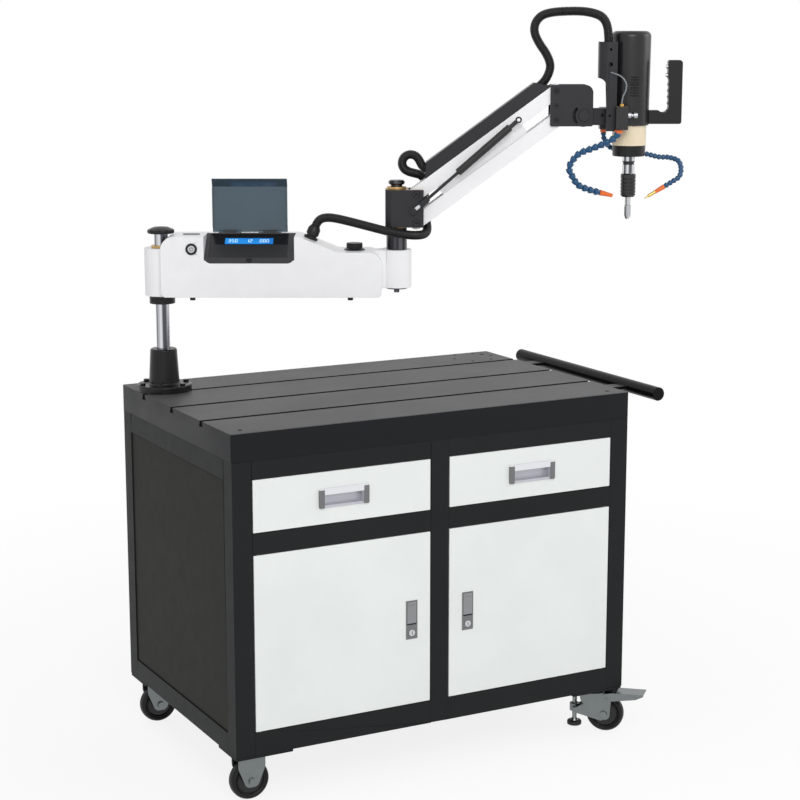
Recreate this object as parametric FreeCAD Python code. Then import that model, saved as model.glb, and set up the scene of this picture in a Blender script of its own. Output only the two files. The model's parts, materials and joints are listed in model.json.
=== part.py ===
"""Arm tapping machine on a wheeled T-slot bench, as an assembly of separate pieces (millimetres)."""
import FreeCAD, Part
import math
import os

V = FreeCAD.Vector
UP = V(0, 0, 1)

# ------------------------------------------------------------------ fits
RUNNING_FIT = 0.05      # radial clearance of a shaft in its bore
AIR_GAP = 0.3           # gap between faces that move past each other
OVERRUN = 50              # how far a long cutting body runs past what it cuts
SHORT_OVERRUN = 20        # the same, for a short one
SMALL_CHAMFER = 1.5       # chamfer of small turned edges

# ------------------------------------------------------------------ bench sizes
TABLE_LENGTH = 1100.0
TABLE_WIDTH = 710.0
TABLE_HEIGHT = 910.0
SKIRT_HEIGHT = 67.0
SKIRT_WALL = 22.0
PLATE_THICKNESS = 26.0
RIB_THICKNESS = 12.0
RIB_DEPTH = 24.0
SLOT_FROM_FRONT = (179.0, 366.0, 556.0)
SLOT_NECK = 14.0
SLOT_NECK_DEPTH = 8.0
SLOT_CHAMBER = 20.0
SLOT_DEPTH = 15.0
CORNER_HOLE_INSET = 40.0
CORNER_HOLE_DIAMETER = 11.0

FRAME_INSET = 1.0
FRAME_BOTTOM = 125.0
POST_SIZE = 50.0
TUBE_WALL = 2.5
RAIL_DEPTH = 30.0
TOP_RAIL = 44.0
MID_RAIL = 51.0
BOTTOM_RAIL = 57.0
DRAWER_OPENING = 130.0
SIDE_RAIL = 50.0
PANEL_SHEET = 2.0
PANEL_SETBACK = 3.0
PANEL_GAP = 2.0

FRONT_GAP = 2.0         # gap round drawer fronts and doors
FRONT_SHEET = 1.5
DRAWER_FRONT_DEPTH = 20.0
DRAWER_DEPTH = 560.0
DRAWER_TRAY_HEIGHT = 95.0
DRAWER_SHEET = 1.5
RUNNER_WIDTH = 12.0
RUNNER_HEIGHT = 36.0
RUNNER_SHEET = 2.0
RUNNER_ABOVE_RAIL = 30.0
PULL_LENGTH = 132.0
PULL_HEIGHT = 48.0
PULL_DEPTH = 16.0
PULL_PROUD = 5.0
PULL_CAP = 14.0
PULL_LIP = 2.0            # rim on the drawer's face
PULL_SKIN = 2.0           # cup's sheet
PULL_MARGIN = 4.0         # rim above and below the cup
PULL_CORNER = 3.0
PULL_BAR_HEIGHT = 15.0    # finger bar

DOOR_DEPTH = 20.0
DOOR_PIVOT_IN = 12.0    # pivot axis from the door's hinge edge
DOOR_PIVOT_BACK = 6.0   # pivot axis behind the door's face
DOOR_PIN_RADIUS = 3.0
DOOR_PIN_LENGTH = 6.0
LATCH_LENGTH = 98.0
LATCH_WIDTH = 32.0
LATCH_FROM_EDGE = 54.0
LATCH_PROUD = 2.0
LATCH_RIM = 3.0
LATCH_CORNER = 3.0
LOCK_ABOVE_RIM = 5.0      # lock's edge above the lower rim
PADDLE_PIN_RISE = 5.0     # paddle's pin above its lower end
FINGER_INSET = 5.0        # groove for a fingertip: inset from the sides
FINGER_DROP = 9.0         # below the paddle's top
FINGER_RADIUS = 1.2
DOOR_BLOCK_HEIGHT = 12.0  # block round a door's pivot pin
DOOR_BLOCK_WALL = 2.0
LATCH_DEPTH = 12.0
PADDLE_LENGTH = 58.0
PADDLE_THICKNESS = 3.0
PADDLE_PIN_RADIUS = 1.5
LOCK_RADIUS = 8.0

# ------------------------------------------------------------------ casters and push handle
WHEEL_DIAMETER = 98.0
WHEEL_WIDTH = 32.0
WHEEL_SHOULDER = 7.0
WHEEL_DISH = 4.0
WHEEL_RIM_RADIUS = 36.0
WHEEL_HUB_RADIUS = 15.0
AXLE_RADIUS = 5.0
AXLE_HEAD_RADIUS = 9.0
AXLE_HEAD_LENGTH = 5.0
CORNER_PLATE_LENGTH = 150.0
CORNER_PLATE_WIDTH = 113.0
CORNER_PLATE_THICKNESS = 6.0
CASTER_INSET = 55.0     # caster centre from the table's outer faces
CASTER_PLATE_LENGTH = 96.0
CASTER_PLATE_WIDTH = 84.0
CASTER_PLATE_CORNER = 6.0
CASTER_PLATE_THICKNESS = 3.0
FORK_SHEET = 3.0
FORK_CLEARANCE = 3.0
FORK_TOP_LENGTH = 70.0
FORK_EYE_RADIUS = 15.0
FORK_SHOULDER = 34.0     # the cheeks narrow below this height above the axle
FORK_SHOULDER_RADIUS = 25.0
RACE_RADIUS = 30.0
RACE_FLARE = 3.0          # race narrows upwards and the crown stands out by this
WHEEL_ROOM = 1.5          # room round the tread inside a fork
RACE_HEIGHT = 9.0
SWIVEL_TRAIL = 34.0
SWIVEL_HEADING = {"front": -45.0, "rear": 38.0}     # trail direction at rest, degrees from +X
PEDAL_REACH = 138.0
PEDAL_PIVOT_AHEAD = 40.0
PEDAL_PIVOT_HEIGHT = 92.0
PEDAL_SHEET = 2.0
PEDAL_PIN_RADIUS = 4.0
FOOT_BEHIND = 48.0
FOOT_PAD_RADIUS = 19.0
FOOT_PAD_HEIGHT = 11.0
FOOT_LIFT = 7.0         # pad above the floor at rest
FOOT_STEM_RADIUS = 6.0
FOOT_STEM_TOP = 86.0
FOOT_ARM_BOTTOM = 46.0
FOOT_ARM_TOP = 60.0
FOOT_BOSS_RISE = 6.0      # threaded boss above the arm
FOOT_NUT_WIDER = 5.0      # hand nut on the stem: radius over the stem's
FOOT_NUT_HEIGHT = 8.0
FOOT_BOSS_RADIUS = 13.0

HANDLE_TUBE_RADIUS = 17.5
HANDLE_TUBE_WALL = 2.5
HANDLE_STANDOFF = 82.0
HANDLE_BELOW_TOP = 10.0
HANDLE_START = -15.0
HANDLE_LENGTH = 670.0
HANDLE_BRACKET_INSET = 135.0
HANDLE_BOLT_RISE = 14.0   # bracket bolts above the skirt's lower edge
HANDLE_BOLT_RADIUS = 5.0
HANDLE_BOLT_HEAD = 4.0
HANDLE_FOOT_RISE = 4.0    # strap's foot above the skirt's lower edge
GUSSET_LENGTH = 40.0
GUSSET_HALF_THICKNESS = 3.0
HANDLE_BRACKET_WIDTH = 40.0
HANDLE_BRACKET_SHEET = 8.0
HANDLE_CAP_LENGTH = 3.0

# ------------------------------------------------------------------ column
COLUMN_FROM_LEFT = 70.5
COLUMN_FROM_FRONT = 592.0
COLUMN_RADIUS = 17.5
COLUMN_FLANGE_RADIUS = 70.0
COLUMN_FLANGE_HEIGHT = 17.0
COLUMN_CONE_BOTTOM_RADIUS = 39.0
COLUMN_CONE_TOP_RADIUS = 34.0
COLUMN_BASE_HEIGHT = 108.0
COLUMN_BASE_FILLET = 3.0  # chamfers at the cone's foot and top
COLUMN_BOLT_CIRCLE = 118.0
COLUMN_BOLT_COUNT = 6
COLUMN_BOLT_RADIUS = 4.0
COLUMN_BOLT_HOLE_RADIUS = 4.2
BOLT_HEAD_ACROSS = 13.0
BOLT_HEAD_HEIGHT = 5.5
COLUMN_BOLT_IN_TABLE = 14.0
COLUMN_KNOB_RADIUS = 34.0
COLUMN_KNOB_HEIGHT = 10.5
COLUMN_KNOB_DOME = 7.0
COLUMN_KNOB_FLUTES = 10
COLUMN_KNOB_FIRST = 18    # angle of the first flute
FLUTE_SHIFT = 0.55        # flute's centre outside the rim, as a share of its radius
COLUMN_KNOB_FLUTE_RADIUS = 5.0
SPARE_BASE_FROM_LEFT = 1014.0
SPARE_BASE_FROM_FRONT = 641.0

ARM_ANGLE = -28.17      # the arm's direction at rest, degrees from +X

# ------------------------------------------------------------------ rear arm (heights above the table top)
COLLAR_HEIGHT = 20.7
COLLAR_RADIUS = 32.5
COLLAR_SLIT = 3.0
COLLAR_SCREW_RADIUS = 5.0
COLLAR_SCREW_DEPTH = 12.0
BUSH_RING_RADIUS = 25.0
BUSH_RING_HEIGHT = 6.0
HUB_RADIUS = 43.0
HUB_PROUD = 1.5          # hub below the housing's underside
HUB_TOP = 366.0
HOUSING_START = 5.0
HOUSING_TO_ELBOW = 37.5  # housing's end from the elbow axis
HOUSING_BOTTOM = 247.0
HOUSING_TOP = 399.0
HOUSING_LOW_TOP = 360.0
HOUSING_SLOPE_START = 352.0
HOUSING_SLOPE_END = 448.0
HOUSING_HALF_WIDTH = 65.0
BEZEL_ROOM = 3.0          # sunk panel beyond the cover on each side
HINGE_LEAF_LENGTH = 14.0
HINGE_LEAF_SHEET = 1.5
HOUSING_SHEET = 2.5
HOUSING_BASE_SHEET = 3.0
HOUSING_CORNER = 33.0
NECK_ROOT = 4.0           # neck starts this far inside the housing's round corner
NECK_INTO_BARREL = 20.0   # its end runs into the barrel, short of the axis
HOUSING_SMALL_CORNER = 12.0
HOUSING_BUMPERS = (82.0, 479.0)
BUMPER_RADIUS = 7.0
BUMPER_HEIGHT = 9.0
BUMPER_BACK = 45.0       # bumper axes from the housing's centre plane
PLUG_START = 55.0
PLUG_END = 99.0
PLUG_HALF_WIDTH = 11.0
PLUG_PROUD = 2.0

BAY_START = 113.5
BAY_END = 339.5
BAY_FRONT_BOTTOM = 333.0
BAY_SLOPE_FRONT = 345.0
BAY_SLOPE_BACK = 35.0   # the slope reaches the housing's top this far behind the centre plane
BAY_CORNER = 18.0
BEZEL_SHEET = 4.0
BAY_LEDGE = 5.0
BAY_NOTCH_RADIUS = 8.0
SCREEN_START = 161.5
SCREEN_END = 283.0
SCREEN_LENGTH = 24.0
SCREEN_FROM_TOP = 22.0
SCREEN_THICKNESS = 2.0
COVER_START = 127.0
COVER_END = 318.0
COVER_SHEET = 3.0
COVER_MAIN = 113.5
COVER_LIP = 24.0
COVER_LIP_BEND = 35.0
COVER_SIDE = 7.0
HINGE_AXIS_BACK = 39.0
COLUMN_KNOB_GAP = 3.0    # from the housing's top up to the column knob
HINGE_AXIS_RISE = 3.0     # hinge axis above the housing's top
HINGE_PIN_RADIUS = 2.0
HINGE_KNUCKLE_RADIUS = 3.5
HINGE_KNUCKLE = 34.0
HINGE_FROM_EDGE = 28.0
HINGE_EYE = 12.0

POWER_U = 83.0
POWER_Z = 369.0
POWER_RING_RADIUS = 14.5
POWER_RING_PROUD = 3.0
POWER_BUTTON_RADIUS = 9.0
POWER_BUTTON_PROUD = 4.0
POWER_BUTTON_DEPTH = 14.0
KNOB_FROM_ELBOW = 106.5
KNOB_STEM_RADIUS = 6.0
KNOB_RADIUS = 20.5
KNOB_FLANGE_RADIUS = 26.5
KNOB_FLANGE = 4.0
KNOB_HEIGHT = 18.0
KNOB_FLUTES = 14
KNOB_STEM_LENGTH = 10.0   # stem below the housing's top
KNOB_FLUTE_OUT = 0.3      # flutes' centres outside the rim
KNOB_FLUTE_RADIUS = 1.6
GLAND_U = 378.0
GLAND_RADIUS = 15.0
GLAND_FLANGE_RADIUS = 18.0
GLAND_FLANGE = 6.0
GLAND_LENGTH = 34.0

BARREL_RADIUS = 37.4
BARREL_BOTTOM = 266.0
BARREL_TOP = 362.0
NECK_HALF_WIDTH = 26.0
SPIGOT_RADIUS = 20.0
BARREL_FLANGE = 4.0
BARREL_FLANGE_RADIUS = 26.0
BARREL_SCREW_RADIUS = 7.0
BARREL_SCREW_LENGTH = 10.0

# ------------------------------------------------------------------ elbow
ELBOW_REACH = 595.5
ELBOW_SHAFT_RADIUS = 26.0
JOURNAL_RADIUS = 17.0
BLOCK_BOTTOM = 420.0
BLOCK_TOP = 514.0
BLOCK_BACK = 28.5
BLOCK_FRONT = 67.5
BLOCK_HALF_WIDTH = 40.0
BLOCK_CHAMFER = 14.0
BUSH_FLANGE_RADIUS = 24.5
BUSH_FLANGE_BOTTOM = 4.0
BUSH_FLANGE_TOP = 6.0
BUSH_WALL = 3.0
ELBOW_KNOB_RADIUS = 20.5
ELBOW_KNOB_HEIGHT = 16.0

# ------------------------------------------------------------------ parallelogram arm
PIVOT_FROM_ELBOW = 49.0
UPPER_PIVOT_HEIGHT = 502.6
PIVOT_SPACING = 71.5
LINK_LENGTH = 430.5
LINK_ANGLE = 36.27
LINK_HALF_HEIGHT = 17.0
LINK_HALF_WIDTH = 27.0
LINK_SHEET = 3.0
LINK_SIDE_GAP = 0.5
LINK_WEB_START = 30.0
LINK_WEB_TO_END = 30.5
INNER_WALL_HALF_WIDTH = 20.0
INNER_WALL_START = 96.0
INNER_WALL_TO_END = 74.5
INNER_WALL_INTO_UPPER = 6.0
PIVOT_PIN_RADIUS = 6.0
PIVOT_HEAD_RADIUS = 9.0
PIVOT_HEAD = 4.0
PIVOT_HEAD_SUNK = 0.8
PIVOT_SOCKET = 6.0        # hexagon socket, across its flats
PIVOT_SOCKET_DEPTH = 2.6
COVER_BOTTOM_START = 40.0
COVER_TOP_START = 66.0
COVER_BOTTOM_TO_END = 1.5
COVER_TOP_TO_END = 32.5
COVER_HEIGHT = 32.0
COVER_HALF_WIDTH = 24.0
CABLE_COVER_SHEET = 2.0

GAS_FROM_ELBOW = 41.9
GAS_LOWER_Z = 461.8
GAS_UPPER_ALONG = 313.6
GAS_CYLINDER_RADIUS = 9.5
GAS_CYLINDER_START = 146.0
GAS_CYLINDER_TO_END = 27.65
GAS_ROD_RADIUS = 4.0
GAS_PISTON_RADIUS = 7.5
GAS_END = 8.0             # piston and the tube's near end
GAS_FAR_END = 6.0         # tube's far end
GAS_EYE_RADIUS = 8.0
GAS_EYE_WIDTH = 9.0
GAS_FERRULE_RADIUS = 5.5
GAS_FERRULE_LENGTH = 18.0
GAS_STUD_RADIUS = 4.0
GAS_STANDOFF = 8.0       # spring's axis plane from the block's near face
GAS_ROD_INSIDE = 60.0
GAS_STOP_RADIUS = 7.0
GAS_STOP_START = 24.0
GAS_STOP_LENGTH = 26.0

# ------------------------------------------------------------------ head (from the links' upper right pivot)
BRACKET_START = 15.2    # plates' left edge, towards the elbow
BRACKET_END = 91.0
BRACKET_BOTTOM = -86.3
BRACKET_TOP = 15.7
BRACKET_CORNER = 20.0
BRACKET_SMALL_CORNER = 4.5
BRACKET_SHEET = 6.0
BRACKET_SPACER_START = 21.0
BRACKET_SPACER_END = 36.0
BRACKET_HEAD_RADIUS = 6.6
TILT_U = 68.8
TILT_Z = -59.7
TILT_BOLT_RADIUS = 8.0
TILT_HEAD_RADIUS = 13.9
TILT_HEAD = 6.0
TILT_SLOT_RADIUS = 25.0
TILT_SLOT_WIDTH = 7.0
TILT_SLOT_SWEEP = 40.0  # each side of level, degrees
TILT_DISC_RADIUS = 28.8
TILT_TONGUE_HALF_WIDTH = 12.0
SADDLE_HALF_WIDTH = 22.0
HOLDER_BOTTOM = -84.3
HOLDER_TOP = -42.3
HOLDER_HOLE_RADIUS = 4.0
CHANNEL_LEFT = 102.8
CHANNEL_RIGHT = 147.4
CHANNEL_TOP = 120.7
CHANNEL_BOTTOM = -97.3
CHANNEL_CUT = 32.7
CHANNEL_CUT_DEPTH = 18.6
CHANNEL_SHEET = 3.0
CHANNEL_FRONT = -52.0
CHANNEL_RADIUS = 24.0
CHANNEL_HOLE_U = 130.4
CHANNEL_HOLES = ((101.7, 3.0), (65.7, 5.0), (46.7, 3.0), (-59.3, 3.0))     # (height, radius)
CHANNEL_CUT_RADIUS = 22.0

SPINDLE_U = 185.4
MOTOR_RADIUS = 49.5
MOTOR_FOOT_RADIUS = 47.5
MOTOR_BOTTOM = -84.3
MOTOR_TOP = 146.7
MOTOR_CORNER = 14.0
MOTOR_VENTS = 8
MOTOR_VENT_PITCH = 6.4
MOTOR_VENT_HEIGHT = 3.0
MOTOR_VENT_TOP = 35.7
MOTOR_VENT_DEPTH = 5.0
MOTOR_VENT_START = -6.0
MOTOR_VENT_LENGTH = 27.0
NOSE_RADIUS = 42.0
NOSE_BOTTOM = -134.3
NOSE_CAP_RADIUS = 41.0
NOSE_CAP_BOTTOM = -161.3
SPINDLE_RADIUS = 15.5
SPINDLE_BOTTOM = -204.3
GROOVE_BOTTOM = 22.0      # spindle's groove above its lower end
GROOVE_WIDTH = 4.0        # its flat, between two chamfers 1 mm high
GROOVE_DEPTH = 1.5
SPINDLE_NECK_RADIUS = 11.0
SPINDLE_NECK_BOTTOM = -257.3
CHUCK_RADIUS = 19.0
CHUCK_TOP = -205.3
CHUCK_BOTTOM = -263.3
CHUCK_GROOVES = 5
CHUCK_PLAIN = 14.0        # plain length of the sleeve, below and above its grooves
CHUCK_FIRST = 8.0         # first groove above the lower end
CHUCK_GROOVE_DEPTH = 1.2
CHUCK_GROOVE_SLOPE = 0.8
CHUCK_GROOVE_WIDTH = 3.2
TAP_RADIUS = 8.0
TAP_BOTTOM = -318.3
TAP_TOP = -227.3
TAP_FLUTES = 4
TAP_FLUTE_FIRST = 20      # angle of the first flute
TAP_FLUTE_OUT = 0.6       # flutes' centres outside the tap's surface
TAP_SHANK = 6.0           # full shank below the spindle's neck
TAP_FLUTE_RADIUS = 3.2
TAP_FLUTED_LENGTH = 34.0
TAP_TIP = 4.0

GRIP_ARM_BOTTOM = -81.3
GRIP_ARM_TOP = -47.3
GRIP_LEFT = 278.0
GRIP_RIGHT = 313.4
GRIP_TOP = 75.7
GRIP_HALF_WIDTH = 14.0
GRIP_NOTCHES = 5
GRIP_NOTCH_START = 9.0
GRIP_NOTCH_PITCH = 15.5
GRIP_NOTCH_RADIUS = 14.0
GRIP_NOTCH_DEPTH = 2.5
GRIP_BUTTON_RADIUS = 5.0
GRIP_BUTTON_PROUD = 5.0
GRIP_BUTTON_DEPTH = 9.0
GRIP_BUTTON_TOP = 59.7
GRIP_BUTTON_PITCH = 21.0

VALVE_LEFT = 143.2
VALVE_RIGHT = 173.0
VALVE_BOTTOM = -92.3
VALVE_TOP = -35.3
VALVE_TAP_DROP = 22.0     # side fitting's axis below the valve's top
VALVE_TAP = [(0, 0), (7, 0), (7, 8), (4, 9), (4, 14), (7, 15), (7, 24), (0, 24)]   # (radius, along)
VALVE_FRONT = -82.0
VALVE_FITTING_RADIUS = 5.0
VALVE_FITTING_HEIGHT = 6.0
VALVE_OUTLET_SHIFT = -6.0
REAR_VALVE_LEFT = 112.7
REAR_VALVE_RIGHT = 134.7
REAR_VALVE_BOTTOM = -95.3
REAR_VALVE_TOP = -41.3
REAR_VALVE_BACK = 46.0

HOSE_CUP_OVERLAP = 1.4
NEAR_HOSE_PITCH = 15.5
NEAR_HOSE_BELL = 8.9
NEAR_HOSE_WAIST = 5.0
NEAR_NUT_RADIUS = 9.9
NEAR_NUT_LENGTH = 9.0
FAR_HOSE_PITCH = 11.0
FAR_HOSE_BELL = 6.9
FAR_HOSE_WAIST = 4.0
FAR_NUT_RADIUS = 7.9
FAR_NUT_LENGTH = 9.0
NEAR_NOZZLE = [(33.0, 7.2, 4.4)]
FAR_NOZZLE = [(25.0, 6.2, 4.6), (20.0, 4.2, 4.0), (11.0, 1.8, 1.5)]

CONDUIT_RADIUS = 11.3
AIR_TUBE_RADIUS = 1.8

# the model's origin lies on the floor, under the middle of everything
ORIGIN_FROM_LEFT = 614.0
ORIGIN_FROM_FRONT = 350.0

# cable routes, as points (along the arm, behind its centre plane, height)
GLAND_RUN = 10.0        # the conduit leaves the gland straight for this length
LOWER_ROUTE_RUN = [     # first value: share of the way from the gland to the elbow axis
    (0.124, -2.0, 439.5), (0.2115, -8.0, 443.0), (0.331, -18.0, 440.0), (0.506, -30.0, 432.0),
    (0.713, -43.0, 421.5), (0.929, -51.0, 410.0),
]
LOWER_ROUTE_TURN = [    # first value: from the elbow axis; heights above the table top
    (29.5, -46.0, 402.0), (58.5, -22.0, 399.0), (72.5, 8.0, 400.0), (78.5, 39.0, 407.0),
    (75.5, 56.0, 430.0), (72.5, 61.0, 456.0), (71.5, 61.0, 480.0),
]
LOOP_ROUTE = [          # first value: from the elbow axis; heights above the table top
    (71.5, 61.0, 480.0), (70.5, 61.0, 504.0), (73.5, 50.0, 532.0), (60.5, 34.0, 547.0), (45.5, 22.0, 551.0),
    (30.0, 11.0, 556.0), (17.5, 3.0, 564.0), (12.5, -4.0, 579.0), (18.0, -8.0, 594.0), (32.0, -9.0, 601.5),
    (48.0, -8.0, 598.0), (58.0, -5.0, 584.5), (64.0, -1.0, 569.5), (78.5, 0.0, 562.5),
]
UPPER_ROUTE = [         # from the links' upper right pivot, as the routes that follow
    (-55.6, 0.0, 0.2), (-34.6, 0.0, 15.7), (-19.6, 0.0, 36.7), (-12.6, 0.0, 61.7), (-22.6, 0.0, 88.7),
    (-42.6, 0.0, 115.7), (-56.6, 0.0, 143.7), (-52.6, 0.0, 170.7), (-27.6, 0.0, 191.7), (12.4, 0.0, 193.7),
]
HEAD_ROUTE = [
    (12.4, 0.0, 193.7), (48.4, 0.0, 195.5), (85.4, -12.0, 191.7), (114.4, -28.0, 179.7),
    (125.4, -36.8, 147.7), (125.4, -36.8, 113.7),
]
AIR_ROUTE = [
    (130.4, -52.0, 46.7), (137.4, -60.0, 44.7), (154.4, -69.0, 38.7), (167.4, -73.0, 23.7),
    (168.4, -71.0, 4.7), (158.1, -67.0, -13.3), (158.1, -67.0, -29.3),
]
NEAR_HOSE_ROUTE = [
    (137.2, -66.0, -116.0), (113.6, -62.0, -128.5), (89.0, -57.0, -138.8), (56.6, -51.0, -152.4),
    (37.3, -48.0, -174.7), (33.2, -48.0, -191.2), (39.1, -47.0, -205.7), (56.5, -43.0, -230.3),
    (86.3, -37.0, -243.1), (112.6, -31.0, -250.3),
]
FAR_HOSE_ROUTE = [
    (127.9, 33.0, -124.5), (145.2, 44.0, -143.1), (190.2, 60.0, -155.4), (234.2, 58.0, -159.7),
    (266.5, 44.0, -166.6), (289.7, 32.0, -166.9), (311.0, 14.0, -173.5), (316.9, -3.0, -191.3),
    (311.3, -15.0, -211.5), (292.0, -20.0, -224.5), (271.9, -22.0, -236.6),
]


# ------------------------------------------------------------------ shape helpers
def box(x0, x1, y0, y1, z0, z1):
    """Box between two corners, given axis by axis."""
    return Part.makeBox(x1 - x0, y1 - y0, z1 - z0, V(x0, y0, z0))


def rod(start, end, radius):
    """Round bar from one point to another."""
    axis = end - start
    return Part.makeCylinder(radius, axis.Length, start, axis)


def cone(start, end, radius_start, radius_end):
    """Cone or frustum from one point to another."""
    axis = end - start
    return Part.makeCone(radius_start, radius_end, axis.Length, start, axis)


def rod_z(x, y, z0, z1, radius):
    """Upright round bar."""
    return rod(V(x, y, z0), V(x, y, z1), radius)


def rod_y(x, z, y0, y1, radius):
    """Round bar across, along Y."""
    return rod(V(x, y0, z), V(x, y1, z), radius)


def ring_z(x, y, z0, z1, outer, inner):
    """Upright ring."""
    return rod_z(x, y, z0, z1, outer).cut(rod_z(x, y, z0 - 1, z1 + 1, inner))


def unit(a, b):
    """Direction of a plane vector, one long."""
    length = math.hypot(a, b)
    return a / length, b / length


def outline(corners, lift):
    """Closed wire through corners (a, b, radius); a corner with a radius becomes a tangent arc."""
    arcs = []
    for i, (a, b, radius) in enumerate(corners):
        before = corners[i - 1]
        after = corners[(i + 1) % len(corners)]
        ua, ub = unit(before[0] - a, before[1] - b)
        wa, wb = unit(after[0] - a, after[1] - b)
        half = math.acos(max(-1.0, min(1.0, ua * wa + ub * wb))) / 2
        reach = radius / math.tan(half)
        ma, mb = unit(ua + wa, ub + wb)
        rise = radius / math.sin(half) - radius
        arcs.append((
            lift(a + ua * reach, b + ub * reach),
            lift(a + ma * rise, b + mb * rise),
            lift(a + wa * reach, b + wb * reach),
        ))
    edges = []
    for i, (start, middle, end) in enumerate(arcs):
        previous = arcs[i - 1][2]
        if previous.distanceToPoint(start) > 1e-6:
            edges.append(Part.LineSegment(previous, start).toShape())
        if start.distanceToPoint(end) > 1e-6:
            edges.append(Part.Arc(start, middle, end).toShape())
    return Part.Wire(Part.__sortEdges__(edges))


def prism_y(corners, y0, y1):
    """Outline in the X-Z plane, carried from y0 to y1."""
    wire = outline(corners, lambda a, b: V(a, y0, b))
    return Part.Face(wire).extrude(V(0, y1 - y0, 0))


def prism_x(corners, x0, x1):
    """Outline in the Y-Z plane, carried from x0 to x1."""
    wire = outline(corners, lambda a, b: V(x0, a, b))
    return Part.Face(wire).extrude(V(x1 - x0, 0, 0))


def prism_z(corners, z0, z1):
    """Outline in the X-Y plane, carried from z0 to z1."""
    wire = outline(corners, lambda a, b: V(a, b, z0))
    return Part.Face(wire).extrude(V(0, 0, z1 - z0))


def rectangle(a0, a1, b0, b1, radius=0.0):
    """Corners of a rectangle, each with the same radius."""
    return [(a0, b0, radius), (a1, b0, radius), (a1, b1, radius), (a0, b1, radius)]


def turned(profile, centre=V(0, 0, 0), axis=UP):
    """Solid of revolution: profile points (radius, height) about an axis through centre."""
    points = [V(r, 0, h) for r, h in profile]
    wire = Part.makePolygon(points + [points[0]])
    solid = Part.Face(wire).revolve(V(0, 0, 0), UP, 360)
    turn = FreeCAD.Rotation(UP, axis)
    solid.Placement = FreeCAD.Placement(centre, turn)
    return solid


def hexagon(x, y, z0, z1, across):
    """Hexagonal prism, flat sides across apart."""
    corner = across / math.sqrt(3)
    points = []
    for k in range(6):
        angle = math.radians(60 * k)
        points.append((x + corner * math.cos(angle), y + corner * math.sin(angle), 0))
    return prism_z(points, z0, z1)


def on_circle(count, radius, first=0.0):
    """Points evenly spaced on a circle, the first at a given angle."""
    for k in range(count):
        angle = math.radians(first + 360.0 * k / count)
        yield radius * math.cos(angle), radius * math.sin(angle)


def spin(shape, degrees, centre=V(0, 0, 0), axis=UP):
    """Copy turned about an axis."""
    copy = shape.copy()
    copy.rotate(centre, axis, degrees)
    return copy


def shift(shape, x, y, z):
    """Copy moved."""
    copy = shape.copy()
    copy.translate(V(x, y, z))
    return copy


def cut_all(solid, tools):
    """Solid less every tool."""
    for tool in tools:
        solid = solid.cut(tool)
    return solid


def fuse_all(solids):
    """Solids joined into one, without seams."""
    solid = solids[0]
    for other in solids[1:]:
        solid = solid.fuse(other)
    return solid.removeSplitter()


# ------------------------------------------------------------------ frames of the two assemblies
def in_bench(shape):
    """From the table's front left corner on the floor to the model's frame."""
    return shift(shape, -ORIGIN_FROM_LEFT, -ORIGIN_FROM_FRONT, 0)


def in_arm(shape):
    """From the column's axis at the table top, X along the arm, to the model's frame."""
    turned_shape = spin(shape, ARM_ANGLE)
    return in_bench(shift(turned_shape, COLUMN_FROM_LEFT, COLUMN_FROM_FRONT, TABLE_HEIGHT))


def in_link(shape):
    """From a link's lower pivot, X along the link, to the arm's frame."""
    leaning = spin(shape, -LINK_ANGLE, V(0, 0, 0), V(0, 1, 0))
    return shift(leaning, ELBOW_REACH + PIVOT_FROM_ELBOW, 0, UPPER_PIVOT_HEIGHT)


def in_head(shape):
    """From the links' upper right pivot to the model's frame."""
    return in_arm(shift(shape, RIGHT_PIVOT_U, 0, RIGHT_PIVOT_Z))


def export(node, place, *solids):
    """Writes one node's solids, placed, to its STEP file."""
    placed = [place(solid) for solid in solids]
    for solid in placed:
        if not solid.isValid():
            print("not valid:", node)
    shape = placed[0] if len(placed) == 1 else Part.makeCompound(placed)
    shape.exportStep(os.path.join("parts", node + ".step"))


# ------------------------------------------------------------------ derived bench levels
FRAME_TOP = TABLE_HEIGHT - SKIRT_HEIGHT
FRAME_LEFT = FRAME_INSET
FRAME_RIGHT = TABLE_LENGTH - FRAME_INSET
FRAME_FRONT = FRAME_INSET
FRAME_BACK = TABLE_WIDTH - FRAME_INSET
CENTRE_POST_LEFT = (TABLE_LENGTH - POST_SIZE) / 2
CENTRE_POST_RIGHT = (TABLE_LENGTH + POST_SIZE) / 2
DRAWER_TOP = FRAME_TOP - TOP_RAIL
DRAWER_BOTTOM = DRAWER_TOP - DRAWER_OPENING
DOOR_TOP = DRAWER_BOTTOM - MID_RAIL
DOOR_BOTTOM = FRAME_BOTTOM + BOTTOM_RAIL
BAYS = {
    "left": (FRAME_LEFT + POST_SIZE, CENTRE_POST_LEFT),
    "right": (CENTRE_POST_RIGHT, FRAME_RIGHT - POST_SIZE),
}
HANDLE_X = TABLE_LENGTH + HANDLE_STANDOFF
HANDLE_Z = TABLE_HEIGHT - HANDLE_BELOW_TOP
HUB_BOTTOM = HOUSING_BOTTOM - HUB_PROUD
COLLAR_BOTTOM = HUB_BOTTOM - AIR_GAP - COLLAR_HEIGHT
HOUSING_END = ELBOW_REACH - HOUSING_TO_ELBOW
COLUMN_KNOB_BOTTOM = HOUSING_TOP + COLUMN_KNOB_GAP
HINGE_AXIS_HEIGHT = HOUSING_TOP + HINGE_AXIS_RISE
KNOB_U = ELBOW_REACH - KNOB_FROM_ELBOW
GAS_LOWER_U = ELBOW_REACH + GAS_FROM_ELBOW
SLOPE_RUN = HOUSING_HALF_WIDTH + BAY_SLOPE_BACK
SLOPE_RISE = HOUSING_TOP - BAY_SLOPE_FRONT
SLOPE_LENGTH = math.hypot(SLOPE_RUN, SLOPE_RISE)
SLOPE_ANGLE = math.degrees(math.atan2(SLOPE_RISE, SLOPE_RUN))
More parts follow.
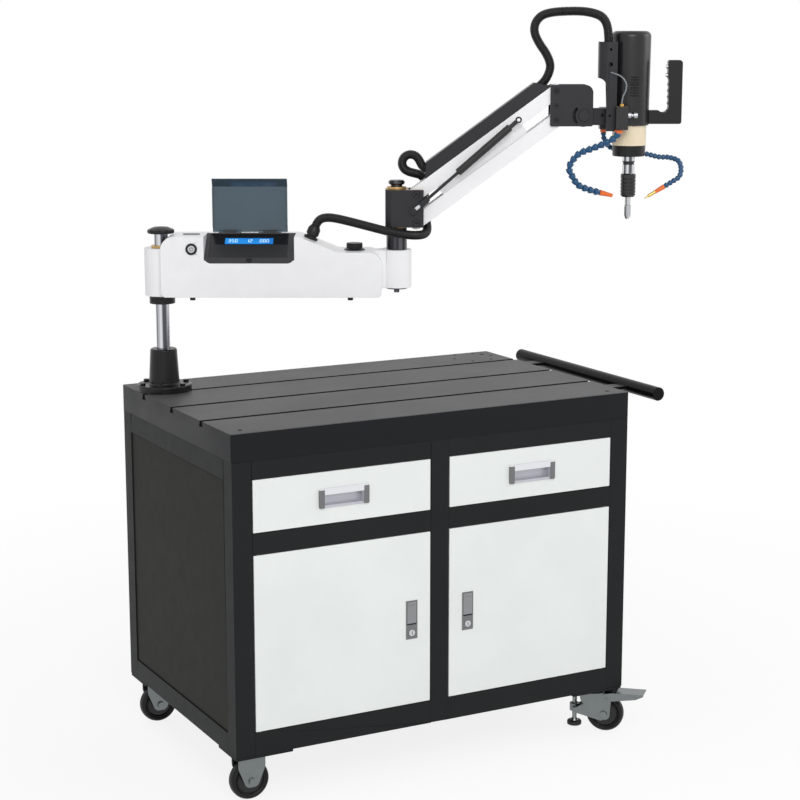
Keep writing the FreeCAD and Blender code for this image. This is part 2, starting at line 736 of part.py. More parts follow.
HOUSING_SLOPE_ANGLE = math.degrees(
    math.atan2(HOUSING_TOP - HOUSING_LOW_TOP, HOUSING_SLOPE_END - HOUSING_SLOPE_START))
LEAN = math.radians(LINK_ANGLE)
RIGHT_PIVOT_U = ELBOW_REACH + PIVOT_FROM_ELBOW + LINK_LENGTH * math.cos(LEAN)
RIGHT_PIVOT_Z = UPPER_PIVOT_HEIGHT + LINK_LENGTH * math.sin(LEAN)
LINK_WEB_END = LINK_LENGTH - LINK_WEB_TO_END
INNER_WALL_END = LINK_LENGTH - INNER_WALL_TO_END
COVER_BOTTOM_END = LINK_LENGTH - COVER_BOTTOM_TO_END
COVER_TOP_END = LINK_LENGTH - COVER_TOP_TO_END


# ------------------------------------------------------------------ bench: table
def bolt_places(x, y):
    """Centres of the column base's six bolts round a point of the table."""
    return [(x + a, y + b) for a, b in on_circle(COLUMN_BOLT_COUNT, COLUMN_BOLT_CIRCLE / 2)]


def corner_places():
    """Centres of the table's corner holes."""
    inset = CORNER_HOLE_INSET
    for x in (inset, TABLE_LENGTH - inset):
        for y in (inset, TABLE_WIDTH - inset):
            yield x, y


def make_table():
    """Cast plate with a deep skirt, three T-slots along its length and ribs under the slots."""
    underside = TABLE_HEIGHT - PLATE_THICKNESS
    casting = prism_z(rectangle(0, TABLE_LENGTH, 0, TABLE_WIDTH, 4.0), FRAME_TOP, TABLE_HEIGHT)
    casting = casting.cut(box(SKIRT_WALL, TABLE_LENGTH - SKIRT_WALL, SKIRT_WALL,
                              TABLE_WIDTH - SKIRT_WALL, FRAME_TOP, underside))
    ribs = []
    for y in SLOT_FROM_FRONT:
        ribs.append(box(SKIRT_WALL, TABLE_LENGTH - SKIRT_WALL, y - RIB_THICKNESS / 2,
                        y + RIB_THICKNESS / 2, underside - RIB_DEPTH, underside))
    for x in (TABLE_LENGTH / 3, TABLE_LENGTH * 2 / 3):
        ribs.append(box(x - RIB_THICKNESS / 2, x + RIB_THICKNESS / 2, SKIRT_WALL,
                        TABLE_WIDTH - SKIRT_WALL, underside - RIB_DEPTH, underside))
    casting = fuse_all([casting] + ribs)
    cuts = []
    for y in SLOT_FROM_FRONT:
        neck_bottom = TABLE_HEIGHT - SLOT_NECK_DEPTH
        cuts.append(box(-1, TABLE_LENGTH + 1, y - SLOT_NECK / 2, y + SLOT_NECK / 2,
                        neck_bottom - 1, TABLE_HEIGHT + 1))
        cuts.append(box(-1, TABLE_LENGTH + 1, y - SLOT_CHAMBER / 2, y + SLOT_CHAMBER / 2,
                        TABLE_HEIGHT - SLOT_DEPTH, neck_bottom))
    for x, y in bolt_places(COLUMN_FROM_LEFT, COLUMN_FROM_FRONT):
        cuts.append(rod_z(x, y, underside - 1, TABLE_HEIGHT + 1, COLUMN_BOLT_HOLE_RADIUS))
    for x, y in bolt_places(SPARE_BASE_FROM_LEFT, SPARE_BASE_FROM_FRONT):
        cuts.append(rod_z(x, y, underside - 1, TABLE_HEIGHT + 1, COLUMN_BOLT_HOLE_RADIUS))
    for x, y in corner_places():
        cuts.append(rod_z(x, y, underside - 1, TABLE_HEIGHT + 1, CORNER_HOLE_DIAMETER / 2))
    return cut_all(casting, cuts)


# ------------------------------------------------------------------ bench: frame and panels
def post(x0, x1, y0, y1):
    """Upright square tube, open at its top and bottom ends."""
    t = TUBE_WALL
    outside = box(x0, x1, y0, y1, FRAME_BOTTOM, FRAME_TOP)
    return outside.cut(box(x0 + t, x1 - t, y0 + t, y1 - t, FRAME_BOTTOM - 1, FRAME_TOP + 1))


def rail_x(x0, x1, face, inward, z0, z1):
    """Folded rail along X: a C section whose back is on the outer face, open inwards."""
    t = TUBE_WALL
    far = face + inward * RAIL_DEPTH
    solid = box(x0, x1, min(face, far), max(face, far), z0, z1)
    near = face + inward * t
    far = face + inward * (RAIL_DEPTH + 1)
    return solid.cut(box(x0 - 1, x1 + 1, min(near, far), max(near, far), z0 + t, z1 - t))


def rail_y(y0, y1, face, inward, z0, z1):
    """Folded rail along Y: a C section open inwards."""
    t = TUBE_WALL
    far = face + inward * RAIL_DEPTH
    solid = box(min(face, far), max(face, far), y0, y1, z0, z1)
    near = face + inward * t
    far = face + inward * (RAIL_DEPTH + 1)
    return solid.cut(box(min(near, far), max(near, far), y0 - 1, y1 + 1, z0 + t, z1 - t))


def door_pivots(side):
    """Hinge axis of a door, as (x, y)."""
    left, right = BAYS[side]
    inside = FRONT_GAP + DOOR_PIVOT_IN
    x = left + inside if side == "left" else right - inside
    return x, FRAME_FRONT + DOOR_PIVOT_BACK


def make_frame():
    """Posts and rails of the cabinet; every member is its own piece and meets the next face to face."""
    size = POST_SIZE
    members = []
    for x0 in (FRAME_LEFT, FRAME_RIGHT - size):
        for y0 in (FRAME_FRONT, FRAME_BACK - size):
            members.append(post(x0, x0 + size, y0, y0 + size))
    members.append(post(CENTRE_POST_LEFT, CENTRE_POST_RIGHT, FRAME_FRONT, FRAME_FRONT + size))
    members.append(post(CENTRE_POST_LEFT, CENTRE_POST_RIGHT, FRAME_BACK - size, FRAME_BACK))
    pins = []
    for side in BAYS:
        x, y = door_pivots(side)
        pins.append(rod_z(x, y, DOOR_BOTTOM - TUBE_WALL - 1, DOOR_TOP + TUBE_WALL + 1,
                          DOOR_PIN_RADIUS + RUNNING_FIT))
    for x0, x1 in BAYS.values():
        for z0, z1 in ((DRAWER_TOP, FRAME_TOP), (DOOR_TOP, DRAWER_BOTTOM), (FRAME_BOTTOM, DOOR_BOTTOM)):
            members.append(cut_all(rail_x(x0, x1, FRAME_FRONT, 1, z0, z1), pins))
        for z0, z1 in ((FRAME_TOP - SIDE_RAIL, FRAME_TOP), (FRAME_BOTTOM, FRAME_BOTTOM + SIDE_RAIL)):
            members.append(rail_x(x0, x1, FRAME_BACK, -1, z0, z1))
    for face, inward in ((FRAME_LEFT, 1), (FRAME_RIGHT, -1)):
        for z0, z1 in ((FRAME_TOP - SIDE_RAIL, FRAME_TOP), (FRAME_BOTTOM, FRAME_BOTTOM + SIDE_RAIL)):
            members.append(rail_y(FRAME_FRONT + size, FRAME_BACK - size, face, inward, z0, z1))
    return members


def make_panels():
    """Sheets that close the cabinet: sides, back, floor, drawer deck and centre wall."""
    gap = PANEL_GAP
    lower = FRAME_BOTTOM + SIDE_RAIL
    upper = FRAME_TOP - SIDE_RAIL
    deep0 = FRAME_FRONT + POST_SIZE
    deep1 = FRAME_BACK - POST_SIZE
    sheets = []
    for face, inward in ((FRAME_LEFT, 1), (FRAME_RIGHT, -1)):
        outer = face + inward * PANEL_SETBACK
        inner = outer + inward * PANEL_SHEET
        field = box(min(outer, inner), max(outer, inner), deep0 + gap, deep1 - gap, lower + gap, upper - gap)
        back = inner + inward * PANEL_SHEET
        flange = box(min(inner, back), max(inner, back), deep0, deep1, lower, upper)
        sheets.append(fuse_all([field, flange]))
    for x0, x1 in BAYS.values():
        outer = FRAME_BACK - PANEL_SETBACK
        field = box(x0 + gap, x1 - gap, outer - PANEL_SHEET, outer, lower + gap, upper - gap)
        flange = box(x0, x1, outer - 2 * PANEL_SHEET, outer - PANEL_SHEET, lower, upper)
        sheets.append(fuse_all([field, flange]))
    sheets.append(cut_all(
        box(FRAME_LEFT + RAIL_DEPTH, FRAME_RIGHT - RAIL_DEPTH, FRAME_FRONT + RAIL_DEPTH,
            FRAME_BACK - RAIL_DEPTH, FRAME_BOTTOM, FRAME_BOTTOM + PANEL_SHEET),
        post_blocks()))
    deck = DOOR_TOP + 2 * TUBE_WALL
    middle = TABLE_LENGTH / 2
    for x0, x1 in ((FRAME_LEFT + 4 * PANEL_SHEET, middle - PANEL_SHEET / 2),
                   (middle + PANEL_SHEET / 2, FRAME_RIGHT - 4 * PANEL_SHEET)):
        sheets.append(cut_all(
            box(x0, x1, FRAME_FRONT + RAIL_DEPTH, FRAME_BACK - 4 * PANEL_SHEET, deck, deck + PANEL_SHEET),
            post_blocks()))
    sheets.append(box(middle - PANEL_SHEET / 2, middle + PANEL_SHEET / 2, deep0, deep1,
                      FRAME_BOTTOM + PANEL_SHEET, FRAME_TOP))
    return sheets


def post_blocks():
    """The posts' outer volumes, which the sheets are notched round."""
    size = POST_SIZE
    for x0 in (FRAME_LEFT, CENTRE_POST_LEFT, FRAME_RIGHT - size):
        for y0 in (FRAME_FRONT, FRAME_BACK - size):
            yield box(x0, x0 + size, y0, y0 + size, FRAME_BOTTOM - 1, FRAME_TOP + 1)


def runner_levels():
    """Heights of a drawer's runners."""
    low = DRAWER_BOTTOM + RUNNER_ABOVE_RAIL
    return low, low + RUNNER_HEIGHT


def make_runners():
    """Folded ledges between front and rear posts that carry the drawers, one on each side of a bay."""
    low, high = runner_levels()
    y0 = FRAME_FRONT + POST_SIZE
    y1 = FRAME_BACK - POST_SIZE
    ledges = []
    for left, right in BAYS.values():
        for wall, inward in ((left, 1), (right, -1)):
            t = RUNNER_SHEET
            end = wall + inward * RUNNER_WIDTH
            outside = box(min(wall, end), max(wall, end), y0, y1, low, high)
            inner = wall + inward * t
            past = wall + inward * (RUNNER_WIDTH + 1)
            channel = outside.cut(box(min(inner, past), max(inner, past), y0 - 1, y1 + 1, low + t, high - t))
            tabs = []
            for a, b in ((y0 - POST_SIZE / 2, y0), (y1, y1 + POST_SIZE / 2)):
                tabs.append(box(min(wall, inner), max(wall, inner), a, b, low, high))
            ledges.append(fuse_all([channel] + tabs))
    return ledges


# ------------------------------------------------------------------ bench: drawers
def make_drawer(side):
    """Folded tray with a panned front, side runners and a cut-out for the pull."""
    left, right = BAYS[side]
    low, high = runner_levels()
    t = DRAWER_SHEET
    front = FRAME_FRONT
    x0 = left + FRONT_GAP
    x1 = right - FRONT_GAP
    z0 = DRAWER_BOTTOM + FRONT_GAP
    z1 = DRAWER_TOP - FRONT_GAP
    pan = box(x0, x1, front, front + DRAWER_FRONT_DEPTH, z0, z1)
    pan = pan.cut(box(x0 + t, x1 - t, front + t, front + DRAWER_FRONT_DEPTH + 1, z0 + t, z1 - t))
    tray_left = left + RUNNER_WIDTH + AIR_GAP
    tray_right = right - RUNNER_WIDTH - AIR_GAP
    floor = z0 + DRAWER_FRONT_DEPTH / 2
    tray_front = front + t
    tray_back = front + DRAWER_DEPTH
    top = floor + DRAWER_TRAY_HEIGHT
    tray = box(tray_left, tray_right, tray_front, tray_back, floor, top)
    tray = tray.cut(box(tray_left + t, tray_right - t, front + DRAWER_FRONT_DEPTH, tray_back - t,
                        floor + t, top + 1))
    tray = tray.cut(box(tray_left + t, tray_right - t, tray_front, front + DRAWER_FRONT_DEPTH - t,
                        floor + t, top - t))
    slides = []
    slide_low = low + RUNNER_SHEET + AIR_GAP
    slide_high = high - RUNNER_SHEET - AIR_GAP
    for wall, inward in ((left, 1), (right, -1)):
        outer = wall + inward * (RUNNER_SHEET + AIR_GAP)
        inner = wall + inward * (RUNNER_WIDTH + AIR_GAP)
        slides.append(box(min(outer, inner), max(outer, inner), front + POST_SIZE, tray_back,
                          slide_low, slide_high))
    drawer = fuse_all([pan, tray] + slides)
    return drawer.cut(pull_pocket(side, AIR_GAP))


def pull_centre(side):
    """Centre of a drawer's pull, across and up."""
    left, right = BAYS[side]
    return (left + right) / 2, (DRAWER_TOP + DRAWER_BOTTOM) / 2


def pull_pocket(side, room):
    """Space that the recessed part of the pull takes in the drawer's front."""
    x, z = pull_centre(side)
    half = PULL_LENGTH / 2 - PULL_CAP + room
    high = PULL_HEIGHT / 2 - PULL_MARGIN + room
    return box(x - half, x + half, FRAME_FRONT - 1, FRAME_FRONT + PULL_DEPTH + room, z - high, z + high)


def make_pull(side):
    """Recessed cup with a rim on the drawer's face, a finger bar along its top and two end caps."""
    x, z = pull_centre(side)
    half = PULL_LENGTH / 2
    high = PULL_HEIGHT / 2
    face = FRAME_FRONT
    front = face - PULL_LIP
    x0 = x - half + PULL_CAP
    x1 = x + half - PULL_CAP
    z0 = z - high + PULL_MARGIN
    z1 = z + high - PULL_MARGIN
    rim = prism_y(rectangle(x - half, x + half, z - high, z + high, PULL_CORNER), front, face)
    cup = box(x0, x1, front, face + PULL_DEPTH, z0, z1)
    shell = fuse_all([rim, cup])
    shell = shell.cut(box(x0 + PULL_SKIN, x1 - PULL_SKIN, front - 1, face + PULL_DEPTH - PULL_SKIN,
                          z0 + PULL_SKIN, z1 - PULL_SKIN))
    bar_top = z + high - 1
    bar = box(x0, x1, face - PULL_PROUD, front, bar_top - PULL_BAR_HEIGHT, bar_top)
    caps = []
    for start in (x - half, x1):
        outline = rectangle(start, start + PULL_CAP, z - high, z + high, PULL_CORNER)
        caps.append(prism_y(outline, face - PULL_PROUD, front))
    return fuse_all([shell, bar] + caps)


# ------------------------------------------------------------------ bench: doors
def latch_centre(side):
    """Centre of a door's latch, beside the centre post and half way up."""
    left, right = BAYS[side]
    x = right - LATCH_FROM_EDGE if side == "left" else left + LATCH_FROM_EDGE
    return x, (DOOR_TOP + DOOR_BOTTOM) / 2


def make_door(side):
    """Panned sheet door with pivot pins top and bottom and the latch's cup pressed into it."""
    left, right = BAYS[side]
    t = FRONT_SHEET
    x0 = left + FRONT_GAP
    x1 = right - FRONT_GAP
    z0 = DOOR_BOTTOM + FRONT_GAP
    z1 = DOOR_TOP - FRONT_GAP
    face = FRAME_FRONT
    door = box(x0, x1, face, face + DOOR_DEPTH, z0, z1)
    door = door.cut(box(x0 + t, x1 - t, face + t, face + DOOR_DEPTH + 1, z0 + t, z1 - t))
    px, py = door_pivots(side)
    block = DOOR_PIN_RADIUS + DOOR_BLOCK_WALL
    pieces = [door]
    for end, out in ((z0, -1), (z1, 1)):
        low, high = sorted((end - out * DOOR_BLOCK_HEIGHT, end))
        pieces.append(box(px - block, px + block, face, face + DOOR_PIVOT_BACK + block, low, high))
        low, high = sorted((end - out * 1.0, end + out * DOOR_PIN_LENGTH))
        pieces.append(rod_z(px, py, low, high, DOOR_PIN_RADIUS))
    x, z = latch_centre(side)
    half = LATCH_WIDTH / 2
    tall = LATCH_LENGTH / 2
    frame = rectangle(x - half, x + half, z - tall, z + tall, LATCH_CORNER)
    pieces.append(prism_y(frame, face - LATCH_PROUD, face))
    pieces.append(box(x - half + 1, x + half - 1, face, face + LATCH_DEPTH, z - tall + 1, z + tall - 1))
    door = fuse_all(pieces)
    room = LATCH_RIM
    door = door.cut(box(x - half + room, x + half - room, face - LATCH_PROUD - 1, face + LATCH_DEPTH - 2,
                        z + tall - room - PADDLE_LENGTH - 2 * AIR_GAP, z + tall - room))
    pin = rod(V(x - half + 1, face + PADDLE_THICKNESS, paddle_axis(side)),
              V(x + half - 1, face + PADDLE_THICKNESS, paddle_axis(side)), PADDLE_PIN_RADIUS)
    lock_z = z - tall + room + LOCK_ABOVE_RIM + LOCK_RADIUS
    lock = rod_y(x, lock_z, face - LATCH_PROUD - 2, face, LOCK_RADIUS)
    return fuse_all([door, pin, lock])


def paddle_axis(side):
    """Height of the pin that a latch paddle turns on, near the paddle's lower end."""
    _, z = latch_centre(side)
    return z + LATCH_LENGTH / 2 - LATCH_RIM - PADDLE_LENGTH - AIR_GAP + PADDLE_PIN_RISE


def make_paddle(side):
    """Flat paddle that lies in the latch's cup and swings out at its top end."""
    x, z = latch_centre(side)
    half = LATCH_WIDTH / 2 - LATCH_RIM - AIR_GAP
    top = z + LATCH_LENGTH / 2 - LATCH_RIM - AIR_GAP
    axis = paddle_axis(side)
    face = FRAME_FRONT
    front = face - LATCH_PROUD
    pin_y = face + PADDLE_THICKNESS
    plate = prism_y(rectangle(x - half, x + half, axis, top), front, front + PADDLE_THICKNESS)
    eye_radius = PADDLE_THICKNESS + LATCH_PROUD - 0.5
    eye = rod(V(x - half, pin_y, axis), V(x + half, pin_y, axis), eye_radius)
    web = box(x - half, x + half, front, pin_y, axis, axis + eye_radius)
    bore = rod(V(x - half - 1, pin_y, axis), V(x + half + 1, pin_y, axis), PADDLE_PIN_RADIUS + RUNNING_FIT)
    groove_z = top - FINGER_DROP
    finger = rod(V(x - half + FINGER_INSET, front, groove_z), V(x + half - FINGER_INSET, front, groove_z),
                 FINGER_RADIUS)
    return fuse_all([plate, eye, web]).cut(bore).cut(finger)


# ------------------------------------------------------------------ bench: casters
def make_wheel():
    """Moulded wheel about the Y axis: dished sides, a raised hub and rounded tread shoulders."""
    half = WHEEL_WIDTH / 2
    tread = WHEEL_DIAMETER / 2
    bore = AXLE_RADIUS + RUNNING_FIT
    side = [
        (bore, half), (WHEEL_HUB_RADIUS, half), (WHEEL_HUB_RADIUS, half - WHEEL_DISH),
        (WHEEL_RIM_RADIUS, half - WHEEL_DISH), (WHEEL_RIM_RADIUS, half),
        (tread - WHEEL_SHOULDER, half), (tread - WHEEL_SHOULDER * 0.3, half - WHEEL_SHOULDER * 0.3),
        (tread, half - WHEEL_SHOULDER),
    ]
    other = [(r, -h) for r, h in reversed(side)]
    return turned(side + other, V(0, 0, 0), V(0, 1, 0))


def axle_bolt():
    """Bolt through the fork and the wheel, head one side and nut the other, about the Y axis."""
    outer = WHEEL_WIDTH / 2 + FORK_CLEARANCE + FORK_SHEET
    return [
        rod_y(0, 0, -outer, outer, AXLE_RADIUS),
        rod_y(0, 0, outer, outer + AXLE_HEAD_LENGTH, AXLE_HEAD_RADIUS),
        rod_y(0, 0, -outer - AXLE_HEAD_LENGTH, -outer, AXLE_HEAD_RADIUS),
    ]


def fork_cheeks(axle_ahead, top, back, front):
    """Two tapered cheeks from the crown down to the axle eye."""
    inner = WHEEL_WIDTH / 2 + FORK_CLEARANCE
    axle = WHEEL_DIAMETER / 2
    r = FORK_EYE_RADIUS
    corners = [
        (back, top, 0), (back, axle + FORK_SHOULDER, FORK_SHOULDER_RADIUS),
        (axle_ahead - r, axle - r, r - 0.5), (axle_ahead + r, axle - r, r - 0.5),
        (front, axle + FORK_SHOULDER, FORK_SHOULDER_RADIUS), (front, top, 0),
    ]
    return [prism_y(corners, side * inner, side * (inner + FORK_SHEET)) for side in (-1, 1)]


PLATE_BOTTOM = FRAME_BOTTOM - CORNER_PLATE_THICKNESS
CASTER_TOP = PLATE_BOTTOM - CASTER_PLATE_THICKNESS
RACE_BOTTOM = CASTER_TOP - RACE_HEIGHT
CROWN_TOP = RACE_BOTTOM - AIR_GAP
AXLE_HEIGHT = WHEEL_DIAMETER / 2


def make_fixed_fork():
    """Pressed fork under its own top plate, with the axle bolt, about the caster's centre."""
    half_width = WHEEL_WIDTH / 2 + FORK_CLEARANCE + FORK_SHEET
    half_top = FORK_TOP_LENGTH / 2
    plate = prism_z(rectangle(-CASTER_PLATE_LENGTH / 2, CASTER_PLATE_LENGTH / 2, -CASTER_PLATE_WIDTH / 2,
                              CASTER_PLATE_WIDTH / 2, CASTER_PLATE_CORNER), CASTER_TOP, PLATE_BOTTOM)
    crown = box(-half_top, half_top, -half_width, half_width, CASTER_TOP - FORK_SHEET, CASTER_TOP)
    axle = [shift(piece, 0, 0, AXLE_HEIGHT) for piece in axle_bolt()]
    return fuse_all([plate, crown] + fork_cheeks(0.0, CASTER_TOP, -half_top, half_top) + axle)


def caster_places():
    inset = CASTER_INSET
    yield "front_left", inset, inset
    yield "rear_left", inset, TABLE_WIDTH - inset
    yield "front_right", TABLE_LENGTH - inset, inset
    yield "rear_right", TABLE_LENGTH - inset, TABLE_WIDTH - inset


def make_caster_mounts():
    """Corner plates under the frame, and the swivel casters' top plates with their bearing races."""
    pieces = []
    for name, x, y in caster_places():
        x0 = FRAME_RIGHT - CORNER_PLATE_LENGTH if name.endswith("right") else FRAME_LEFT
        y0 = FRAME_BACK - CORNER_PLATE_WIDTH if name.startswith("rear") else FRAME_FRONT
        outline = rectangle(x0, x0 + CORNER_PLATE_LENGTH, y0, y0 + CORNER_PLATE_WIDTH, CASTER_PLATE_CORNER)
        plate = prism_z(outline, PLATE_BOTTOM, FRAME_BOTTOM)
        if name.endswith("right"):
            top = prism_z(rectangle(x - CASTER_PLATE_LENGTH / 2, x + CASTER_PLATE_LENGTH / 2,
                                    y - CASTER_PLATE_WIDTH / 2, y + CASTER_PLATE_WIDTH / 2,
                                    CASTER_PLATE_CORNER),
                          CASTER_TOP, PLATE_BOTTOM)
            race = cone(V(x, y, RACE_BOTTOM), V(x, y, CASTER_TOP), RACE_RADIUS, RACE_RADIUS - RACE_FLARE)
            plate = fuse_all([plate, top, race])
        pieces.append(plate)
    return pieces


def make_swivel_fork():
    """Turning fork with its trailing axle and the arm of the levelling foot, trail along +X."""
    inner = WHEEL_WIDTH / 2 + FORK_CLEARANCE
    outer = inner + FORK_SHEET
    crown_bottom = CROWN_TOP - FORK_SHEET
    crown = rod_z(0, 0, crown_bottom, CROWN_TOP, RACE_RADIUS + RACE_FLARE)
    wings = box(-RACE_RADIUS, PEDAL_PIVOT_AHEAD - 12, -outer, outer, crown_bottom, CROWN_TOP)
    cheeks = fork_cheeks(SWIVEL_TRAIL, CROWN_TOP, -RACE_RADIUS, SWIVEL_TRAIL + FORK_EYE_RADIUS + 4)
    axle = [shift(piece, SWIVEL_TRAIL, 0, AXLE_HEIGHT) for piece in axle_bolt()]
    pieces = [crown, wings] + cheeks + axle
    for side in (-1, 1):
        arm = prism_y([(-FOOT_BEHIND + 6, FOOT_ARM_TOP, 3), (-FOOT_BEHIND + 6, FOOT_ARM_BOTTOM, 3),
                       (SWIVEL_TRAIL, AXLE_HEIGHT - 20, 8), (SWIVEL_TRAIL, AXLE_HEIGHT + 8, 8),
                       (-20, FOOT_ARM_TOP + 12, 6)], side * inner, side * outer)
        pieces.append(arm)
        pin = rod_y(PEDAL_PIVOT_AHEAD, PEDAL_PIVOT_HEIGHT, side * outer, side * (outer + PEDAL_SHEET + 1.5),
                    PEDAL_PIN_RADIUS)
        pieces.append(pin)
    bridge = box(-FOOT_BEHIND - 2, -FOOT_BEHIND + 8, -outer, outer, FOOT_ARM_BOTTOM, FOOT_ARM_TOP)
    boss = rod_z(-FOOT_BEHIND, 0, FOOT_ARM_BOTTOM, FOOT_ARM_TOP + FOOT_BOSS_RISE, FOOT_BOSS_RADIUS)
    pieces += [bridge, boss]
    fork = fuse_all(pieces)
    fork = fork.cut(rod_z(-FOOT_BEHIND, 0, FOOT_ARM_BOTTOM - 1, FOOT_ARM_TOP + FOOT_BOSS_RISE + 1,
                          FOOT_STEM_RADIUS + RUNNING_FIT))
    room = WHEEL_DIAMETER / 2 + WHEEL_ROOM
    return fork.cut(rod_y(SWIVEL_TRAIL, AXLE_HEIGHT, -inner, inner, room).cut(
        rod_y(SWIVEL_TRAIL, AXLE_HEIGHT, -inner - 1, inner + 1, AXLE_RADIUS)))


def make_pedal():
    """Brake pedal: a toe plate with side flanges that turn on the fork's pins."""
    inner = WHEEL_WIDTH / 2 + FORK_CLEARANCE + FORK_SHEET + AIR_GAP
    outer = inner + PEDAL_SHEET
    start = PEDAL_PIVOT_AHEAD - 10
    corners = [
        (start, PEDAL_PIVOT_HEIGHT - 9, 5), (PEDAL_REACH - 20, CROWN_TOP - 9, 4),
        (PEDAL_REACH, CROWN_TOP + 1, 2), (PEDAL_REACH, CROWN_TOP + 6, 1),
        (PEDAL_PIVOT_AHEAD + 14, CROWN_TOP + 3, 2), (start, CROWN_TOP - 2, 4),
    ]
    flanges = [prism_y(corners, side * inner, side * outer) for side in (-1, 1)]
    toe = prism_y([(SWIVEL_TRAIL + RACE_RADIUS + 2, CROWN_TOP + 3.9, 0), (PEDAL_REACH, CROWN_TOP + 6, 0),
                   (PEDAL_REACH, CROWN_TOP + 3, 0), (SWIVEL_TRAIL + RACE_RADIUS + 2, CROWN_TOP + 0.9, 0)],
                  -outer, outer)
    pedal = fuse_all(flanges + [toe])
    for side in (-1, 1):
        pedal = pedal.cut(rod_y(PEDAL_PIVOT_AHEAD, PEDAL_PIVOT_HEIGHT, side * (inner - 1), side * (outer + 1),
                                PEDAL_PIN_RADIUS + RUNNING_FIT))
    return pedal


def make_foot():
    """Levelling foot: a threaded stem with a hand nut and a rubber pad."""
    top = FOOT_LIFT + FOOT_PAD_HEIGHT
    profile = [
        (0, FOOT_LIFT), (FOOT_PAD_RADIUS - SMALL_CHAMFER, FOOT_LIFT),
        (FOOT_PAD_RADIUS, FOOT_LIFT + SMALL_CHAMFER),
        (FOOT_PAD_RADIUS, top - 2), (FOOT_PAD_RADIUS - 2, top), (FOOT_STEM_RADIUS + FOOT_NUT_WIDER, top),
        (FOOT_STEM_RADIUS, top + FOOT_NUT_HEIGHT), (FOOT_STEM_RADIUS, FOOT_STEM_TOP), (0, FOOT_STEM_TOP),
    ]
    return turned(profile, V(-FOOT_BEHIND, 0, 0))


# ------------------------------------------------------------------ bench: push handle
def bracket_places():
    """Where the handle's two brackets stand, along Y."""
    return (HANDLE_START + HANDLE_BRACKET_INSET, HANDLE_START + HANDLE_LENGTH - HANDLE_BRACKET_INSET)


def make_push_handle():
    """Round tube with end caps, welded to two bent strap brackets bolted to the table's skirt."""
    y0 = HANDLE_START
    y1 = HANDLE_START + HANDLE_LENGTH
    tube = rod_y(HANDLE_X, HANDLE_Z, y0, y1, HANDLE_TUBE_RADIUS)
    tube = tube.cut(rod_y(HANDLE_X, HANDLE_Z, y0 + HANDLE_CAP_LENGTH, y1 - HANDLE_CAP_LENGTH,
                          HANDLE_TUBE_RADIUS - HANDLE_TUBE_WALL))
    pieces = [tube]
    t = HANDLE_BRACKET_SHEET
    half = HANDLE_BRACKET_WIDTH / 2
    for y in bracket_places():
        strap = box(TABLE_LENGTH, HANDLE_X, y - half, y + half, HANDLE_Z - t / 2, HANDLE_Z + t / 2)
        foot = box(TABLE_LENGTH, TABLE_LENGTH + t, y - half, y + half,
                   FRAME_TOP + HANDLE_FOOT_RISE, HANDLE_Z + t / 2)
        gusset = prism_y([(TABLE_LENGTH, HANDLE_Z, 0), (TABLE_LENGTH, FRAME_TOP + HANDLE_BOLT_RISE, 0),
                          (TABLE_LENGTH + GUSSET_LENGTH, HANDLE_Z, 0)],
                         y - GUSSET_HALF_THICKNESS, y + GUSSET_HALF_THICKNESS)
        pieces += [strap.cut(rod_y(HANDLE_X, HANDLE_Z, y0, y1, HANDLE_TUBE_RADIUS - HANDLE_TUBE_WALL / 2)),
                   foot, gusset]
        for side in (-1, 1):
            bolt = V(TABLE_LENGTH + t, y + side * half / 2, FRAME_TOP + HANDLE_BOLT_RISE)
            pieces.append(rod(bolt, bolt + V(HANDLE_BOLT_HEAD, 0, 0), HANDLE_BOLT_RADIUS))
    return fuse_all(pieces)


# ------------------------------------------------------------------ machine: column
def make_column_base():
    """Turned base: a bolted flange and a tapering socket that holds the column."""
    profile = [
        (COLUMN_RADIUS + RUNNING_FIT, 0), (COLUMN_FLANGE_RADIUS, 0),
        (COLUMN_FLANGE_RADIUS, COLUMN_FLANGE_HEIGHT - 2), (COLUMN_FLANGE_RADIUS - 2, COLUMN_FLANGE_HEIGHT),
        (COLUMN_CONE_BOTTOM_RADIUS + COLUMN_BASE_FILLET, COLUMN_FLANGE_HEIGHT),
        (COLUMN_CONE_BOTTOM_RADIUS, COLUMN_FLANGE_HEIGHT + COLUMN_BASE_FILLET),
        (COLUMN_CONE_TOP_RADIUS, COLUMN_BASE_HEIGHT - COLUMN_BASE_FILLET),
        (COLUMN_CONE_TOP_RADIUS - COLUMN_BASE_FILLET, COLUMN_BASE_HEIGHT),
        (COLUMN_RADIUS + RUNNING_FIT, COLUMN_BASE_HEIGHT),
    ]
    base = turned(profile)
    holes = [rod_z(x, y, -1, COLUMN_FLANGE_HEIGHT + 1, COLUMN_BOLT_HOLE_RADIUS)
             for x, y in on_circle(COLUMN_BOLT_COUNT, COLUMN_BOLT_CIRCLE / 2, -ARM_ANGLE)]
    return cut_all(base, holes)


def make_base_bolts():
    """Hexagon bolts that hold the base down on the table."""
    bolts = []
    for x, y in on_circle(COLUMN_BOLT_COUNT, COLUMN_BOLT_CIRCLE / 2, -ARM_ANGLE):
        head_top = COLUMN_FLANGE_HEIGHT + BOLT_HEAD_HEIGHT
        head = hexagon(x, y, COLUMN_FLANGE_HEIGHT, head_top, BOLT_HEAD_ACROSS)
        shank = rod_z(x, y, -COLUMN_BOLT_IN_TABLE, COLUMN_FLANGE_HEIGHT, COLUMN_BOLT_RADIUS)
        bolts.append(fuse_all([head, shank]))
    return bolts


def make_column():
    """Plain round column."""
    return rod_z(0, 0, 0, COLUMN_KNOB_BOTTOM, COLUMN_RADIUS)


